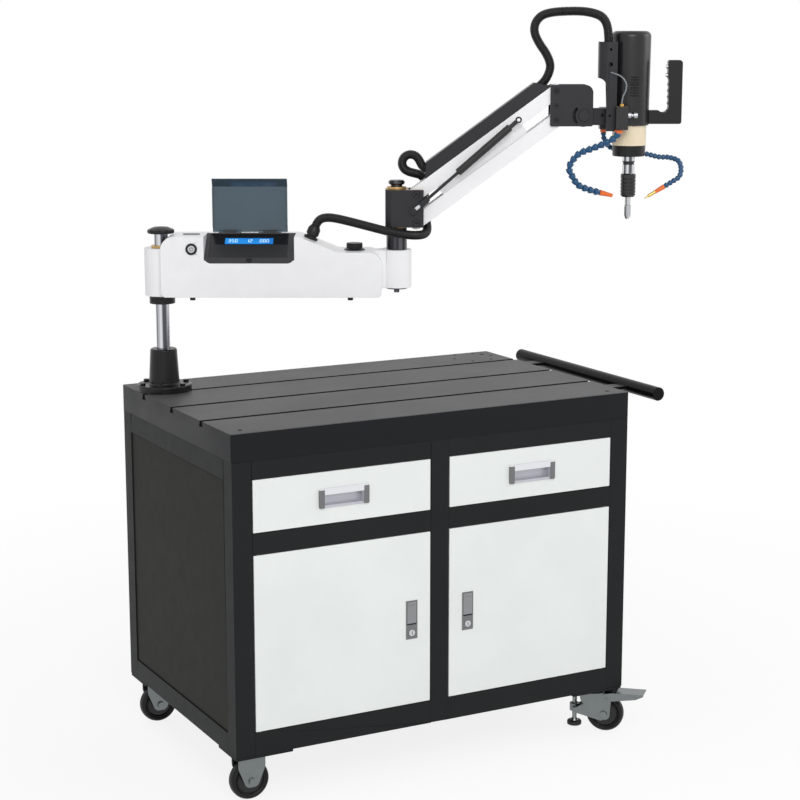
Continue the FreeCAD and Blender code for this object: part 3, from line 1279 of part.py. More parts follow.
def make_column_knob():
    """Fluted stop knob on the column's top, with a low dome."""
    r = COLUMN_KNOB_RADIUS
    top = COLUMN_KNOB_BOTTOM + COLUMN_KNOB_HEIGHT
    knob = turned([
        (0, COLUMN_KNOB_BOTTOM), (r - 2, COLUMN_KNOB_BOTTOM), (r, COLUMN_KNOB_BOTTOM + 2), (r, top - 2),
        (r - 3, top), (r * 0.55, top + COLUMN_KNOB_DOME * 0.75), (0, top + COLUMN_KNOB_DOME),
    ])
    reach = r + COLUMN_KNOB_FLUTE_RADIUS * FLUTE_SHIFT
    flutes = [rod_z(x, y, COLUMN_KNOB_BOTTOM - 1, top + 8, COLUMN_KNOB_FLUTE_RADIUS)
              for x, y in on_circle(COLUMN_KNOB_FLUTES, reach, COLUMN_KNOB_FIRST)]
    return cut_all(knob, flutes)


def make_column_collars():
    """Split clamp collar under the hub and a bush ring above it; both slide on the column."""
    bore = COLUMN_RADIUS + RUNNING_FIT
    collar = ring_z(0, 0, COLLAR_BOTTOM, COLLAR_BOTTOM + COLLAR_HEIGHT, COLLAR_RADIUS, bore)
    middle = COLLAR_BOTTOM + COLLAR_HEIGHT / 2
    collar = collar.cut(box(-COLLAR_RADIUS - 1, 0, -COLLAR_SLIT / 2, COLLAR_SLIT / 2,
                            0, COLLAR_BOTTOM + OVERRUN))
    screw_u = -(COLLAR_RADIUS + COLUMN_RADIUS) / 2
    collar = collar.cut(rod_y(screw_u, middle, -COLLAR_RADIUS, -COLLAR_RADIUS + COLLAR_SCREW_DEPTH,
                              COLLAR_SCREW_RADIUS))
    ring = ring_z(0, 0, HUB_TOP + AIR_GAP, HUB_TOP + AIR_GAP + BUSH_RING_HEIGHT, BUSH_RING_RADIUS, bore)
    return [collar, ring]


# ------------------------------------------------------------------ machine: rear arm
def housing_outline(sheet, bottom):
    """Side view of the housing; with a sheet thickness it is the inside of the folded cover."""
    low = HOUSING_LOW_TOP - sheet
    top = HOUSING_TOP - sheet
    foot = 0.0 if sheet else HOUSING_SMALL_CORNER
    lean = sheet * math.tan(math.radians(HOUSING_SLOPE_ANGLE) / 2)
    return [
        (HOUSING_START + sheet, bottom, foot), (HOUSING_END - sheet, bottom, foot),
        (HOUSING_END - sheet, low, HOUSING_CORNER - sheet), (HOUSING_SLOPE_END - lean, low, 20.0 + sheet),
        (HOUSING_SLOPE_START - lean, top, 16.0 - sheet), (HOUSING_START + sheet, top, HOUSING_CORNER - sheet),
    ]


def above_slope(depth, start, end):
    """Everything above the screen bay's sloping face, moved into the housing by depth."""
    slope = SLOPE_RISE / SLOPE_RUN
    low = BAY_SLOPE_FRONT - depth / math.cos(math.radians(SLOPE_ANGLE))
    front = -HOUSING_HALF_WIDTH - SHORT_OVERRUN
    back = BAY_SLOPE_BACK + 60
    return prism_x([
        (front, low - SHORT_OVERRUN * slope, 0), (back, low + (back + HOUSING_HALF_WIDTH) * slope, 0),
        (front, low + (back + HOUSING_HALF_WIDTH) * slope, 0),
    ], start, end)


def bay_front(depth):
    """The bay's lip on the housing's front face, with its two rounded lower corners."""
    face = -HOUSING_HALF_WIDTH
    corners = rectangle(BAY_START, BAY_END, BAY_FRONT_BOTTOM, HOUSING_TOP, BAY_CORNER)
    plate = prism_y(corners, face, face + depth)
    return plate.cut(above_slope(0, BAY_START - 1, BAY_END + 1))


def bay_slab(depth):
    """Sheet of the given depth under the sloping face, from the front to the bay's rear wall."""
    limit = box(BAY_START, BAY_END, -HOUSING_HALF_WIDTH, BAY_SLOPE_BACK, 0, HOUSING_TOP)
    slab = above_slope(depth, BAY_START, BAY_END).cut(above_slope(0, BAY_START - 1, BAY_END + 1))
    return slab.common(limit)


def make_housing():
    """Folded sheet cover with the hub welded in at the column end, and the plate that closes it below."""
    half = HOUSING_HALF_WIDTH
    t = HOUSING_SHEET
    body = prism_y(housing_outline(0.0, HOUSING_BOTTOM), -half, half)
    inside = prism_y(housing_outline(t, HOUSING_BOTTOM - 5), -half + t, half - t)
    inside = inside.cut(rod_z(0, 0, 0, HOUSING_TOP + 10, HUB_RADIUS))
    inside = inside.cut(above_slope(BEZEL_SHEET + t, BAY_START - t, BAY_END + t).common(
        box(BAY_START - t, BAY_END + t, -half, BAY_SLOPE_BACK + t, 0, HOUSING_TOP)))
    inside = inside.cut(box(BAY_START - t, BAY_END + t, -half, -half + BEZEL_SHEET + t,
                            BAY_FRONT_BOTTOM - t, BAY_SLOPE_FRONT))
    hub = rod_z(0, 0, HUB_BOTTOM, HUB_TOP, HUB_RADIUS)
    cover = fuse_all([body.cut(inside), hub])
    above = above_slope(0, BAY_START, BAY_END).common(
        box(BAY_START, BAY_END, -half - 5, BAY_SLOPE_BACK, 0, HOUSING_TOP + SHORT_OVERRUN))
    cover = cut_all(cover, [above, bay_slab(BEZEL_SHEET), bay_front(BEZEL_SHEET)])
    base = box(HUB_RADIUS + 4, HOUSING_END - HOUSING_SMALL_CORNER, -half + t, half - t,
               HOUSING_BOTTOM, HOUSING_BOTTOM + HOUSING_BASE_SHEET)
    cover = cut_all(cover, [
        base,
        rod_z(0, 0, 0, HOUSING_TOP + SHORT_OVERRUN, COLUMN_RADIUS + RUNNING_FIT),
        rod_z(0, 0, HUB_TOP, HOUSING_TOP + SHORT_OVERRUN, BUSH_RING_RADIUS + 3),
        rod_y(POWER_U, POWER_Z, -half - 1, -half + t + 1, POWER_BUTTON_RADIUS + RUNNING_FIT),
        rod_z(KNOB_U, 0, HOUSING_LOW_TOP - t - 1, HOUSING_LOW_TOP + 1, KNOB_STEM_RADIUS + RUNNING_FIT),
        neck_solid(),
    ])
    return cover, base


def make_housing_fittings():
    """Guard ring round the power button, an oval plug on the top and two bumpers underneath."""
    start = PLUG_START + PLUG_HALF_WIDTH
    end = PLUG_END - PLUG_HALF_WIDTH
    plug = fuse_all([
        box(start, end, -PLUG_HALF_WIDTH, PLUG_HALF_WIDTH, HOUSING_TOP, HOUSING_TOP + PLUG_PROUD),
        rod_z(start, 0, HOUSING_TOP, HOUSING_TOP + PLUG_PROUD, PLUG_HALF_WIDTH),
        rod_z(end, 0, HOUSING_TOP, HOUSING_TOP + PLUG_PROUD, PLUG_HALF_WIDTH),
    ])
    fittings = [make_power_ring(), plug]
    for u in HOUSING_BUMPERS:
        for v in (-BUMPER_BACK, BUMPER_BACK):
            fittings.append(rod_z(u, v, HOUSING_BOTTOM - BUMPER_HEIGHT, HOUSING_BOTTOM, BUMPER_RADIUS))
    return fittings


def neck_solid():
    """Cast neck that runs from inside the housing to the elbow barrel."""
    start = HOUSING_END - HOUSING_CORNER - NECK_ROOT
    end = ELBOW_REACH - NECK_INTO_BARREL
    return prism_y([
        (start, BARREL_BOTTOM, 0), (end, BARREL_BOTTOM, 0), (end, BARREL_TOP, 0),
        (start, HOUSING_LOW_TOP + 0.5, 0),
    ], -NECK_HALF_WIDTH, NECK_HALF_WIDTH)


def make_barrel():
    """Cast elbow barrel with its neck, bored for the shaft's spigot."""
    barrel = rod_z(ELBOW_REACH, 0, BARREL_BOTTOM, BARREL_TOP, BARREL_RADIUS)
    spigot = rod_z(ELBOW_REACH, 0, 0, BARREL_TOP + 5, SPIGOT_RADIUS + RUNNING_FIT)
    return fuse_all([barrel, neck_solid()]).cut(spigot)


def on_bay(shape):
    """From the bay's front edge, X along the arm and Y up the slope, to the arm's frame."""
    leaning = spin(shape, SLOPE_ANGLE, V(0, 0, 0), V(1, 0, 0))
    return shift(leaning, 0, -HOUSING_HALF_WIDTH, BAY_SLOPE_FRONT)


def screen_solid():
    """Display glass, set in the sloping panel."""
    top = SLOPE_LENGTH - SCREEN_FROM_TOP
    middle = -BEZEL_SHEET / 2
    return on_bay(box(SCREEN_START, SCREEN_END, top - SCREEN_LENGTH, top,
                      middle - SCREEN_THICKNESS / 2, middle + SCREEN_THICKNESS / 2))


def make_bezel():
    """Moulded console in the bay: a sunk sloping panel, a rim round it and a finger notch in front."""
    sunk = on_bay(box(COVER_START - BEZEL_ROOM, COVER_END + BEZEL_ROOM, BAY_LEDGE, SLOPE_LENGTH - BAY_LEDGE,
                      -BEZEL_SHEET / 2, BEZEL_SHEET + 1))
    notch = rod_y((BAY_START + BAY_END) / 2, BAY_SLOPE_FRONT - 3, -HOUSING_HALF_WIDTH - 1,
                  -HOUSING_HALF_WIDTH + BEZEL_SHEET / 2, BAY_NOTCH_RADIUS)
    bezel = fuse_all([bay_slab(BEZEL_SHEET), bay_front(BEZEL_SHEET)])
    return cut_all(bezel, [sunk, notch, screen_solid()])


def hinge_starts():
    """Left ends of the two hinge knuckles."""
    return (COVER_START + HINGE_FROM_EDGE, COVER_END - HINGE_FROM_EDGE - HINGE_KNUCKLE)


def hinge_point(x):
    """Point on the cover's hinge axis."""
    return V(x, HINGE_AXIS_BACK, HINGE_AXIS_HEIGHT)


def make_screen_hinges():
    """Two hinge leaves on the housing's top behind the bay, each with a knuckle and a long pin."""
    leaves = []
    for start in hinge_starts():
        end = start + HINGE_KNUCKLE
        leaf = box(start, end, HINGE_AXIS_BACK, HINGE_AXIS_BACK + HINGE_LEAF_LENGTH, HOUSING_TOP,
                   HOUSING_TOP + HINGE_LEAF_SHEET)
        knuckle = rod(hinge_point(start), hinge_point(end), HINGE_KNUCKLE_RADIUS)
        knuckle = knuckle.cut(box(start - 1, end + 1, 0, 2 * OVERRUN,
                                  HOUSING_TOP - SHORT_OVERRUN, HOUSING_TOP))
        pin = rod(hinge_point(start - HINGE_EYE), hinge_point(end + HINGE_EYE), HINGE_PIN_RADIUS)
        leaves.append(fuse_all([leaf, knuckle, pin]))
    return leaves


def make_cover():
    """Clear smoked cover, shown open: a flat panel with a bent lip, side flanges and hinge eyes."""
    near = HINGE_AXIS_BACK + COVER_SIDE - 0.5
    far = near + COVER_SHEET
    foot = HINGE_AXIS_HEIGHT - HINGE_LEAF_SHEET
    bend = HINGE_AXIS_HEIGHT + COVER_MAIN
    lean = math.radians(COVER_LIP_BEND)
    tip_y = near - COVER_LIP * math.sin(lean)
    tip_z = bend + COVER_LIP * math.cos(lean)
    panel = prism_x([
        (near, foot, 0), (far, foot, 0), (far, bend + COVER_SHEET * math.tan(lean / 2), 0),
        (tip_y + COVER_SHEET * math.cos(lean), tip_z + COVER_SHEET * math.sin(lean), 0),
        (tip_y, tip_z, 0), (near, bend, 0),
    ], COVER_START, COVER_END)
    pieces = [panel]
    for x0 in (COVER_START, COVER_END - COVER_SHEET):
        pieces.append(prism_x([
            (near, HINGE_AXIS_HEIGHT + 8, 0), (near, bend, 0), (near - COVER_SIDE, bend - 2, 0),
            (near - COVER_SIDE, HINGE_AXIS_HEIGHT + 14, 0),
        ], x0, x0 + COVER_SHEET))
    for start in hinge_starts():
        for a in (start - HINGE_EYE, start + HINGE_KNUCKLE + AIR_GAP):
            b = a + HINGE_EYE - AIR_GAP
            eye = rod(hinge_point(a), hinge_point(b), HINGE_KNUCKLE_RADIUS - 0.5)
            arm = box(a, b, HINGE_AXIS_BACK, near, foot, HINGE_AXIS_HEIGHT + HINGE_LEAF_SHEET)
            eye = fuse_all([eye, arm])
            bore = rod(hinge_point(a - 1), hinge_point(b + 1), HINGE_PIN_RADIUS + RUNNING_FIT)
            pieces.append(eye.cut(bore))
    return fuse_all(pieces)


def make_power_ring():
    """Guard ring round the power button, on the housing's front face."""
    face = -HOUSING_HALF_WIDTH
    ring = rod_y(POWER_U, POWER_Z, face - POWER_RING_PROUD, face, POWER_RING_RADIUS)
    bore = POWER_BUTTON_RADIUS + RUNNING_FIT
    return ring.cut(rod_y(POWER_U, POWER_Z, face - POWER_RING_PROUD - 1, face + 1, bore))


def make_power_button():
    """Round push button, its face just proud of the housing."""
    face = -HOUSING_HALF_WIDTH
    front = face - POWER_BUTTON_PROUD
    return rod_y(POWER_U, POWER_Z, front, face + POWER_BUTTON_DEPTH, POWER_BUTTON_RADIUS)


def make_control_knob():
    """Fluted rotary knob on a flange, with its stem through the housing's top."""
    z = HOUSING_LOW_TOP
    profile = [
        (0, z - KNOB_STEM_LENGTH), (KNOB_STEM_RADIUS, z - KNOB_STEM_LENGTH), (KNOB_STEM_RADIUS, z + AIR_GAP),
        (KNOB_FLANGE_RADIUS, z + AIR_GAP), (KNOB_FLANGE_RADIUS, z + 2), (KNOB_RADIUS, z + KNOB_FLANGE + 1),
        (KNOB_RADIUS, z + KNOB_HEIGHT - SMALL_CHAMFER),
        (KNOB_RADIUS - SMALL_CHAMFER, z + KNOB_HEIGHT), (0, z + KNOB_HEIGHT),
    ]
    knob = turned(profile, V(KNOB_U, 0, 0))
    flutes = [rod_z(KNOB_U + a, b, z + KNOB_FLANGE + 2, z + KNOB_HEIGHT + 1, KNOB_FLUTE_RADIUS)
              for a, b in on_circle(KNOB_FLUTES, KNOB_RADIUS + KNOB_FLUTE_OUT)]
    return cut_all(knob, flutes)


def gland_base():
    """Where the gland's axis meets the housing's slope, and the slope's outward direction."""
    lean = math.radians(HOUSING_SLOPE_ANGLE)
    z = HOUSING_TOP - (GLAND_U - HOUSING_SLOPE_START) * math.tan(lean)
    return V(GLAND_U, 0, z), V(math.sin(lean), 0, math.cos(lean))


def make_gland():
    """Cable gland on the housing's slope: flange, body and domed nut."""
    foot, axis = gland_base()
    profile = [
        (0, 0), (GLAND_FLANGE_RADIUS, 0), (GLAND_FLANGE_RADIUS, GLAND_FLANGE),
        (GLAND_RADIUS - 2, GLAND_FLANGE),
        (GLAND_RADIUS - 2, GLAND_FLANGE + 5), (GLAND_RADIUS + 1, GLAND_FLANGE + 5),
        (GLAND_RADIUS + 1, GLAND_LENGTH - 8), (GLAND_RADIUS - 3, GLAND_LENGTH), (0, GLAND_LENGTH),
    ]
    return turned(profile, foot, axis)


# ------------------------------------------------------------------ machine: elbow
SHAFT_SHOULDER = BLOCK_BOTTOM - BUSH_FLANGE_BOTTOM - AIR_GAP
BUSH_TOP = BLOCK_TOP + BUSH_FLANGE_TOP
BUSH_RADIUS = JOURNAL_RADIUS + RUNNING_FIT + BUSH_WALL


def make_elbow_shaft():
    """Stepped shaft in the barrel, its retaining cap below and the knob that holds the block on."""
    u = ELBOW_REACH
    shaft = turned([
        (0, BARREL_BOTTOM), (SPIGOT_RADIUS, BARREL_BOTTOM), (SPIGOT_RADIUS, BARREL_TOP),
        (ELBOW_SHAFT_RADIUS, BARREL_TOP), (ELBOW_SHAFT_RADIUS, SHAFT_SHOULDER),
        (JOURNAL_RADIUS, SHAFT_SHOULDER), (JOURNAL_RADIUS, BUSH_TOP + AIR_GAP), (0, BUSH_TOP + AIR_GAP),
    ], V(u, 0, 0))
    cap_bottom = BARREL_BOTTOM - BARREL_FLANGE
    cap = fuse_all([
        rod_z(u, 0, cap_bottom, BARREL_BOTTOM, BARREL_FLANGE_RADIUS),
        rod_z(u, 0, cap_bottom - BARREL_SCREW_LENGTH, cap_bottom, BARREL_SCREW_RADIUS),
    ])
    foot = BUSH_TOP + AIR_GAP
    top = foot + ELBOW_KNOB_HEIGHT
    knob = turned([
        (0, foot), (ELBOW_KNOB_RADIUS - 6, foot), (ELBOW_KNOB_RADIUS - 6, foot + 4),
        (ELBOW_KNOB_RADIUS - 2, foot + 5),
        (ELBOW_KNOB_RADIUS, foot + 8), (ELBOW_KNOB_RADIUS, top - 3), (ELBOW_KNOB_RADIUS - 4, top), (0, top),
    ], V(u, 0, 0))
    return shaft, cap, knob


def make_elbow_block():
    """Machined clevis block on the shaft, with two flanged bushes and the links' two lower pins."""
    u = ELBOW_REACH
    half = BLOCK_HALF_WIDTH
    cut = BLOCK_CHAMFER
    block = prism_z([
        (u - BLOCK_BACK + cut, -half, 0), (u + BLOCK_FRONT, -half, 0), (u + BLOCK_FRONT, half, 0),
        (u - BLOCK_BACK + cut, half, 0), (u - BLOCK_BACK, half - cut, 0), (u - BLOCK_BACK, -half + cut, 0),
    ], BLOCK_BOTTOM, BLOCK_TOP)
    room = LINK_HALF_WIDTH + LINK_SIDE_GAP
    slot_start = u + PIVOT_FROM_ELBOW - LINK_HALF_HEIGHT - 1.5
    block = block.cut(box(slot_start, u + BLOCK_FRONT + 1, -room, room, BLOCK_BOTTOM - 1, BLOCK_TOP + 1))
    block = block.cut(rod_z(u, 0, 0, BLOCK_TOP + OVERRUN, BUSH_RADIUS))
    places = [(u + PIVOT_FROM_ELBOW, z) for z in (UPPER_PIVOT_HEIGHT, UPPER_PIVOT_HEIGHT - PIVOT_SPACING)]
    block = cut_all(block, [pin_seat(x, z, half, PIVOT_HEAD_RADIUS) for x, z in places])
    pins = [pivot_pin(x, z, half, PIVOT_HEAD_RADIUS) for x, z in places]
    inner = JOURNAL_RADIUS + RUNNING_FIT
    middle = (BLOCK_TOP + BLOCK_BOTTOM) / 2
    bushes = []
    for flange0, flange1, end in ((BLOCK_BOTTOM - BUSH_FLANGE_BOTTOM, BLOCK_BOTTOM, middle - 8),
                                  (BLOCK_TOP, BUSH_TOP, middle + 8)):
        flange = ring_z(u, 0, flange0, flange1, BUSH_FLANGE_RADIUS, inner)
        low, high = sorted((flange0, end))
        bushes.append(fuse_all([flange, ring_z(u, 0, low, high, BUSH_RADIUS, inner)]))
    return [block] + bushes + pins


def pin_seat(x, z, half, head_radius):
    """Bore and counterbores for a pivot pin across the two cheeks of a clevis."""
    return fuse_all([
        rod_y(x, z, -half, half, PIVOT_PIN_RADIUS),
        rod_y(x, z, -half, -half + PIVOT_HEAD, head_radius),
        rod_y(x, z, half - PIVOT_HEAD, half, head_radius),
    ])


def pivot_pin(x, z, half, head_radius):
    """Pin with a socket head at each end, the heads sunk a little below the clevis's faces."""
    pin = pin_seat(x, z, half, head_radius)
    for face, inward in ((-half, 1), (half, -1)):
        low, high = sorted((face, face + inward * PIVOT_HEAD_SUNK))
        pin = pin.cut(rod_y(x, z, low, high, head_radius + 1))
        socket = hexagon(0, 0, 0, PIVOT_SOCKET_DEPTH, PIVOT_SOCKET)
        socket = spin(socket, -90 * inward, V(0, 0, 0), V(1, 0, 0))
        pin = pin.cut(shift(socket, x, face, z))
    return pin


# ------------------------------------------------------------------ machine: parallelogram links
LINK_GAP = PIVOT_SPACING * math.cos(LEAN)       # distance between the links' centre lines at rest


def link_cheeks():
    """Bar with round ends, carried across the link's width and bored at both pivots."""
    h = LINK_HALF_HEIGHT
    w = LINK_HALF_WIDTH
    bar = fuse_all([
        box(0, LINK_LENGTH, -w, w, -h, h), rod_y(0, 0, -w, w, h), rod_y(LINK_LENGTH, 0, -w, w, h),
    ])
    for x in (0, LINK_LENGTH):
        bar = bar.cut(rod_y(x, 0, -w - 1, w + 1, PIVOT_PIN_RADIUS + RUNNING_FIT))
    return bar


def hollowed(bar, web_side):
    """Channel with its web on the side given (+1 top, -1 bottom), cut back near the pivots."""
    h = LINK_HALF_HEIGHT
    inner = LINK_HALF_WIDTH - LINK_SHEET
    low, high = sorted((web_side * (h - LINK_SHEET), -web_side * (h + 1)))
    bar = bar.cut(box(-h - 1, LINK_LENGTH + h + 1, -inner, inner, low, high))
    for x0, x1 in ((-h - 1, LINK_WEB_START), (LINK_WEB_END, LINK_LENGTH + h + 1)):
        bar = bar.cut(box(x0, x1, -inner, inner, -h - 1, h + 1))
    return bar


def gas_upper_stud():
    """Stud on the upper link's near cheek that carries the gas spring's upper eye."""
    return fuse_all([
        rod_y(GAS_UPPER_ALONG, 0, -LINK_HALF_WIDTH - GAS_BOSS, -LINK_HALF_WIDTH + LINK_SHEET,
              GAS_STUD_RADIUS + 3),
        rod_y(GAS_UPPER_ALONG, 0, GAS_FRONT - 2.0, -LINK_HALF_WIDTH, GAS_STUD_RADIUS),
    ])


GAS_Y = -BLOCK_HALF_WIDTH - GAS_STANDOFF        # plane of the gas spring's axis
GAS_FRONT = GAS_Y - GAS_EYE_WIDTH / 2
GAS_BOSS = BLOCK_HALF_WIDTH + GAS_STANDOFF - GAS_EYE_WIDTH / 2 - LINK_HALF_WIDTH - AIR_GAP


def make_upper_link():
    """Inverted channel, with the gas spring's stud through its near cheek."""
    stud = gas_upper_stud()
    return hollowed(link_cheeks(), 1).cut(stud), stud


def make_lower_link():
    """Channel open upwards, with a narrower box that rises into the upper link and closes the gap."""
    channel = hollowed(link_cheeks(), -1)
    floor = -LINK_HALF_HEIGHT + LINK_SHEET
    top = LINK_GAP - LINK_HALF_HEIGHT + INNER_WALL_INTO_UPPER
    w = INNER_WALL_HALF_WIDTH
    wall = box(INNER_WALL_START, INNER_WALL_END, -w, w, floor, top)
    wall = wall.cut(box(INNER_WALL_START - 1, INNER_WALL_END + 1, -w + LINK_SHEET, w - LINK_SHEET,
                        floor, top - LINK_SHEET))
    link = fuse_all([channel, wall])
    return shift(link, -PIVOT_SPACING * math.sin(LEAN), 0, -LINK_GAP)


def make_cable_cover():
    """Sheet cover on the upper link, open at both ends where the conduit goes in and out."""
    base = LINK_HALF_HEIGHT
    top = base + COVER_HEIGHT
    t = CABLE_COVER_SHEET
    w = COVER_HALF_WIDTH
    outside = prism_y([(COVER_BOTTOM_START, base, 0), (COVER_BOTTOM_END, base, 0), (COVER_TOP_END, top, 0),
                       (COVER_TOP_START, top, 0)], -w, w)
    return outside.cut(box(0, LINK_LENGTH + OVERRUN, -w + t, w - t, base - 1, top - t))


# ------------------------------------------------------------------ machine: gas spring
def gas_ends():
    """Lower and upper stud centres in the arm's side view, with the spring's direction and length."""
    pivot = V(ELBOW_REACH + PIVOT_FROM_ELBOW, 0, UPPER_PIVOT_HEIGHT)
    upper = pivot + V(math.cos(LEAN), 0, math.sin(LEAN)) * GAS_UPPER_ALONG
    lower = V(GAS_LOWER_U, 0, GAS_LOWER_Z)
    return lower, upper


def in_spring(shape):
    """From the spring's lower eye, X along the spring, to the arm's frame."""
    lower, upper = gas_ends()
    line = upper - lower
    leaning = spin(shape, -math.degrees(math.atan2(line.z, line.x)), V(0, 0, 0), V(0, 1, 0))
    return shift(leaning, lower.x, GAS_Y, lower.z)


def gas_length():
    lower, upper = gas_ends()
    return (upper - lower).Length


def make_gas_cylinder():
    """Spring tube with its upper end fitting and eye."""
    end = gas_length()
    tube_end = end - GAS_CYLINDER_TO_END
    length = tube_end - GAS_CYLINDER_START
    x = V(1, 0, 0)
    tube = turned([
        (GAS_ROD_RADIUS + RUNNING_FIT, 0), (GAS_CYLINDER_RADIUS - SMALL_CHAMFER, 0),
        (GAS_CYLINDER_RADIUS, SMALL_CHAMFER),
        (GAS_CYLINDER_RADIUS, length - SMALL_CHAMFER), (GAS_CYLINDER_RADIUS - SMALL_CHAMFER, length),
        (0, length),
        (0, length - GAS_FAR_END), (GAS_PISTON_RADIUS, length - GAS_FAR_END), (GAS_PISTON_RADIUS, GAS_END),
        (GAS_ROD_RADIUS + RUNNING_FIT, GAS_END),
    ], V(GAS_CYLINDER_START, 0, 0), x)
    neck = rod(V(tube_end, 0, 0), V(end - GAS_EYE_RADIUS + 0.5, 0, 0), GAS_FERRULE_RADIUS)
    eye = rod_y(end, 0, -GAS_EYE_WIDTH / 2, GAS_EYE_WIDTH / 2, GAS_EYE_RADIUS)
    bore = rod_y(end, 0, -GAS_EYE_WIDTH, GAS_EYE_WIDTH, GAS_STUD_RADIUS + RUNNING_FIT)
    return fuse_all([tube, neck, eye]).cut(bore)


def make_gas_rod():
    """Piston rod with its ferrule, lower eye and the stud that stands against the block."""
    inside = GAS_CYLINDER_START + GAS_ROD_INSIDE
    rod_piece = rod(V(0, 0, 0), V(inside, 0, 0), GAS_ROD_RADIUS)
    piston = rod(V(inside - GAS_END, 0, 0), V(inside, 0, 0), GAS_PISTON_RADIUS - RUNNING_FIT)
    ferrule = rod(V(0, 0, 0), V(GAS_FERRULE_LENGTH, 0, 0), GAS_FERRULE_RADIUS)
    stop = rod(V(GAS_STOP_START, 0, 0), V(GAS_STOP_START + GAS_STOP_LENGTH, 0, 0), GAS_STOP_RADIUS)
    eye = rod_y(0, 0, -GAS_EYE_WIDTH / 2, GAS_EYE_WIDTH / 2, GAS_EYE_RADIUS)
    stud = rod_y(0, 0, 0, GAS_STANDOFF - AIR_GAP, GAS_STUD_RADIUS + 2)
    return fuse_all([rod_piece, piston, ferrule, stop, eye, stud])


# ------------------------------------------------------------------ machine: head bracket
PLATE_INSIDE = LINK_HALF_WIDTH + LINK_SIDE_GAP
PLATE_OUTSIDE = PLATE_INSIDE + BRACKET_SHEET


def make_head_bracket():
    """Two plates and their spacer, the links' upper pins, and the tilt bolt with its nut."""
    small = BRACKET_SMALL_CORNER
    corners = [(-BRACKET_START, BRACKET_BOTTOM, small), (BRACKET_END, BRACKET_BOTTOM, small),
               (BRACKET_END, BRACKET_TOP, BRACKET_CORNER), (-BRACKET_START, BRACKET_TOP, small)]
    bolt = rod_y(TILT_U, TILT_Z, -PLATE_OUTSIDE, PLATE_OUTSIDE, TILT_BOLT_RADIUS)
    heads = [rod_y(TILT_U, TILT_Z, -PLATE_OUTSIDE - TILT_HEAD, -PLATE_OUTSIDE, TILT_HEAD_RADIUS),
             rod_y(TILT_U, TILT_Z, PLATE_OUTSIDE, PLATE_OUTSIDE + TILT_HEAD, TILT_HEAD_RADIUS)]
    seats = [pin_seat(0, z, PLATE_OUTSIDE, BRACKET_HEAD_RADIUS) for z in (0, -PIVOT_SPACING)]
    pins = [pivot_pin(0, z, PLATE_OUTSIDE, BRACKET_HEAD_RADIUS) for z in (0, -PIVOT_SPACING)]
    plates = []
    screws = []
    for side in (-1, 1):
        inner, outer = sorted((side * PLATE_INSIDE, side * PLATE_OUTSIDE))
        screw = rod_y(0, -PIVOT_SPACING / 2, inner, outer, BRACKET_HEAD_RADIUS)
        plate = prism_y(corners, side * PLATE_INSIDE, side * PLATE_OUTSIDE)
        plates.append(cut_all(plate, [bolt, tilt_slot(), screw] + seats))
        face = side * PLATE_OUTSIDE
        socket = spin(hexagon(0, 0, 0, PIVOT_SOCKET_DEPTH, PIVOT_SOCKET), 90 * side, V(0, 0, 0), V(1, 0, 0))
        screws.append(screw.cut(shift(socket, 0, face, -PIVOT_SPACING / 2)))
    spacer = box(BRACKET_SPACER_START, BRACKET_SPACER_END, -PLATE_INSIDE, PLATE_INSIDE,
                 BRACKET_BOTTOM + 6, BRACKET_TOP - 6)
    return plates + [spacer, fuse_all([bolt] + heads)] + pins + screws


def tilt_slot():
    """Arc-shaped slot about the tilt bolt, through both plates."""
    outer = TILT_SLOT_RADIUS + TILT_SLOT_WIDTH / 2
    inner = TILT_SLOT_RADIUS - TILT_SLOT_WIDTH / 2
    deep = PLATE_OUTSIDE + 1
    sweep = math.radians(TILT_SLOT_SWEEP)
    reach_u = 2 * outer * math.cos(sweep)
    reach_z = 2 * outer * math.sin(sweep)
    ring = rod_y(TILT_U, TILT_Z, -deep, deep, outer).cut(rod_y(TILT_U, TILT_Z, -deep, deep, inner))
    sector = prism_y([(TILT_U, TILT_Z, 0), (TILT_U - reach_u, TILT_Z + reach_z, 0),
                      (TILT_U - reach_u, TILT_Z - reach_z, 0)], -deep, deep)
    slot = ring.common(sector)
    for sign in (-1, 1):
        x = TILT_U - TILT_SLOT_RADIUS * math.cos(sweep)
        z = TILT_Z + sign * TILT_SLOT_RADIUS * math.sin(sweep)
        slot = slot.fuse(rod_y(x, z, -deep, deep, TILT_SLOT_WIDTH / 2))
    return slot


# ------------------------------------------------------------------ machine: tapping head
def motor_cone(below, above):
    """The motor can's slightly tapering outside, carried on past its ends."""
    taper = (MOTOR_RADIUS - MOTOR_FOOT_RADIUS) / (MOTOR_TOP - MOTOR_BOTTOM)
    return cone(V(SPINDLE_U, 0, MOTOR_BOTTOM - below), V(SPINDLE_U, 0, MOTOR_TOP + above),
                MOTOR_FOOT_RADIUS - taper * below, MOTOR_RADIUS + taper * above)


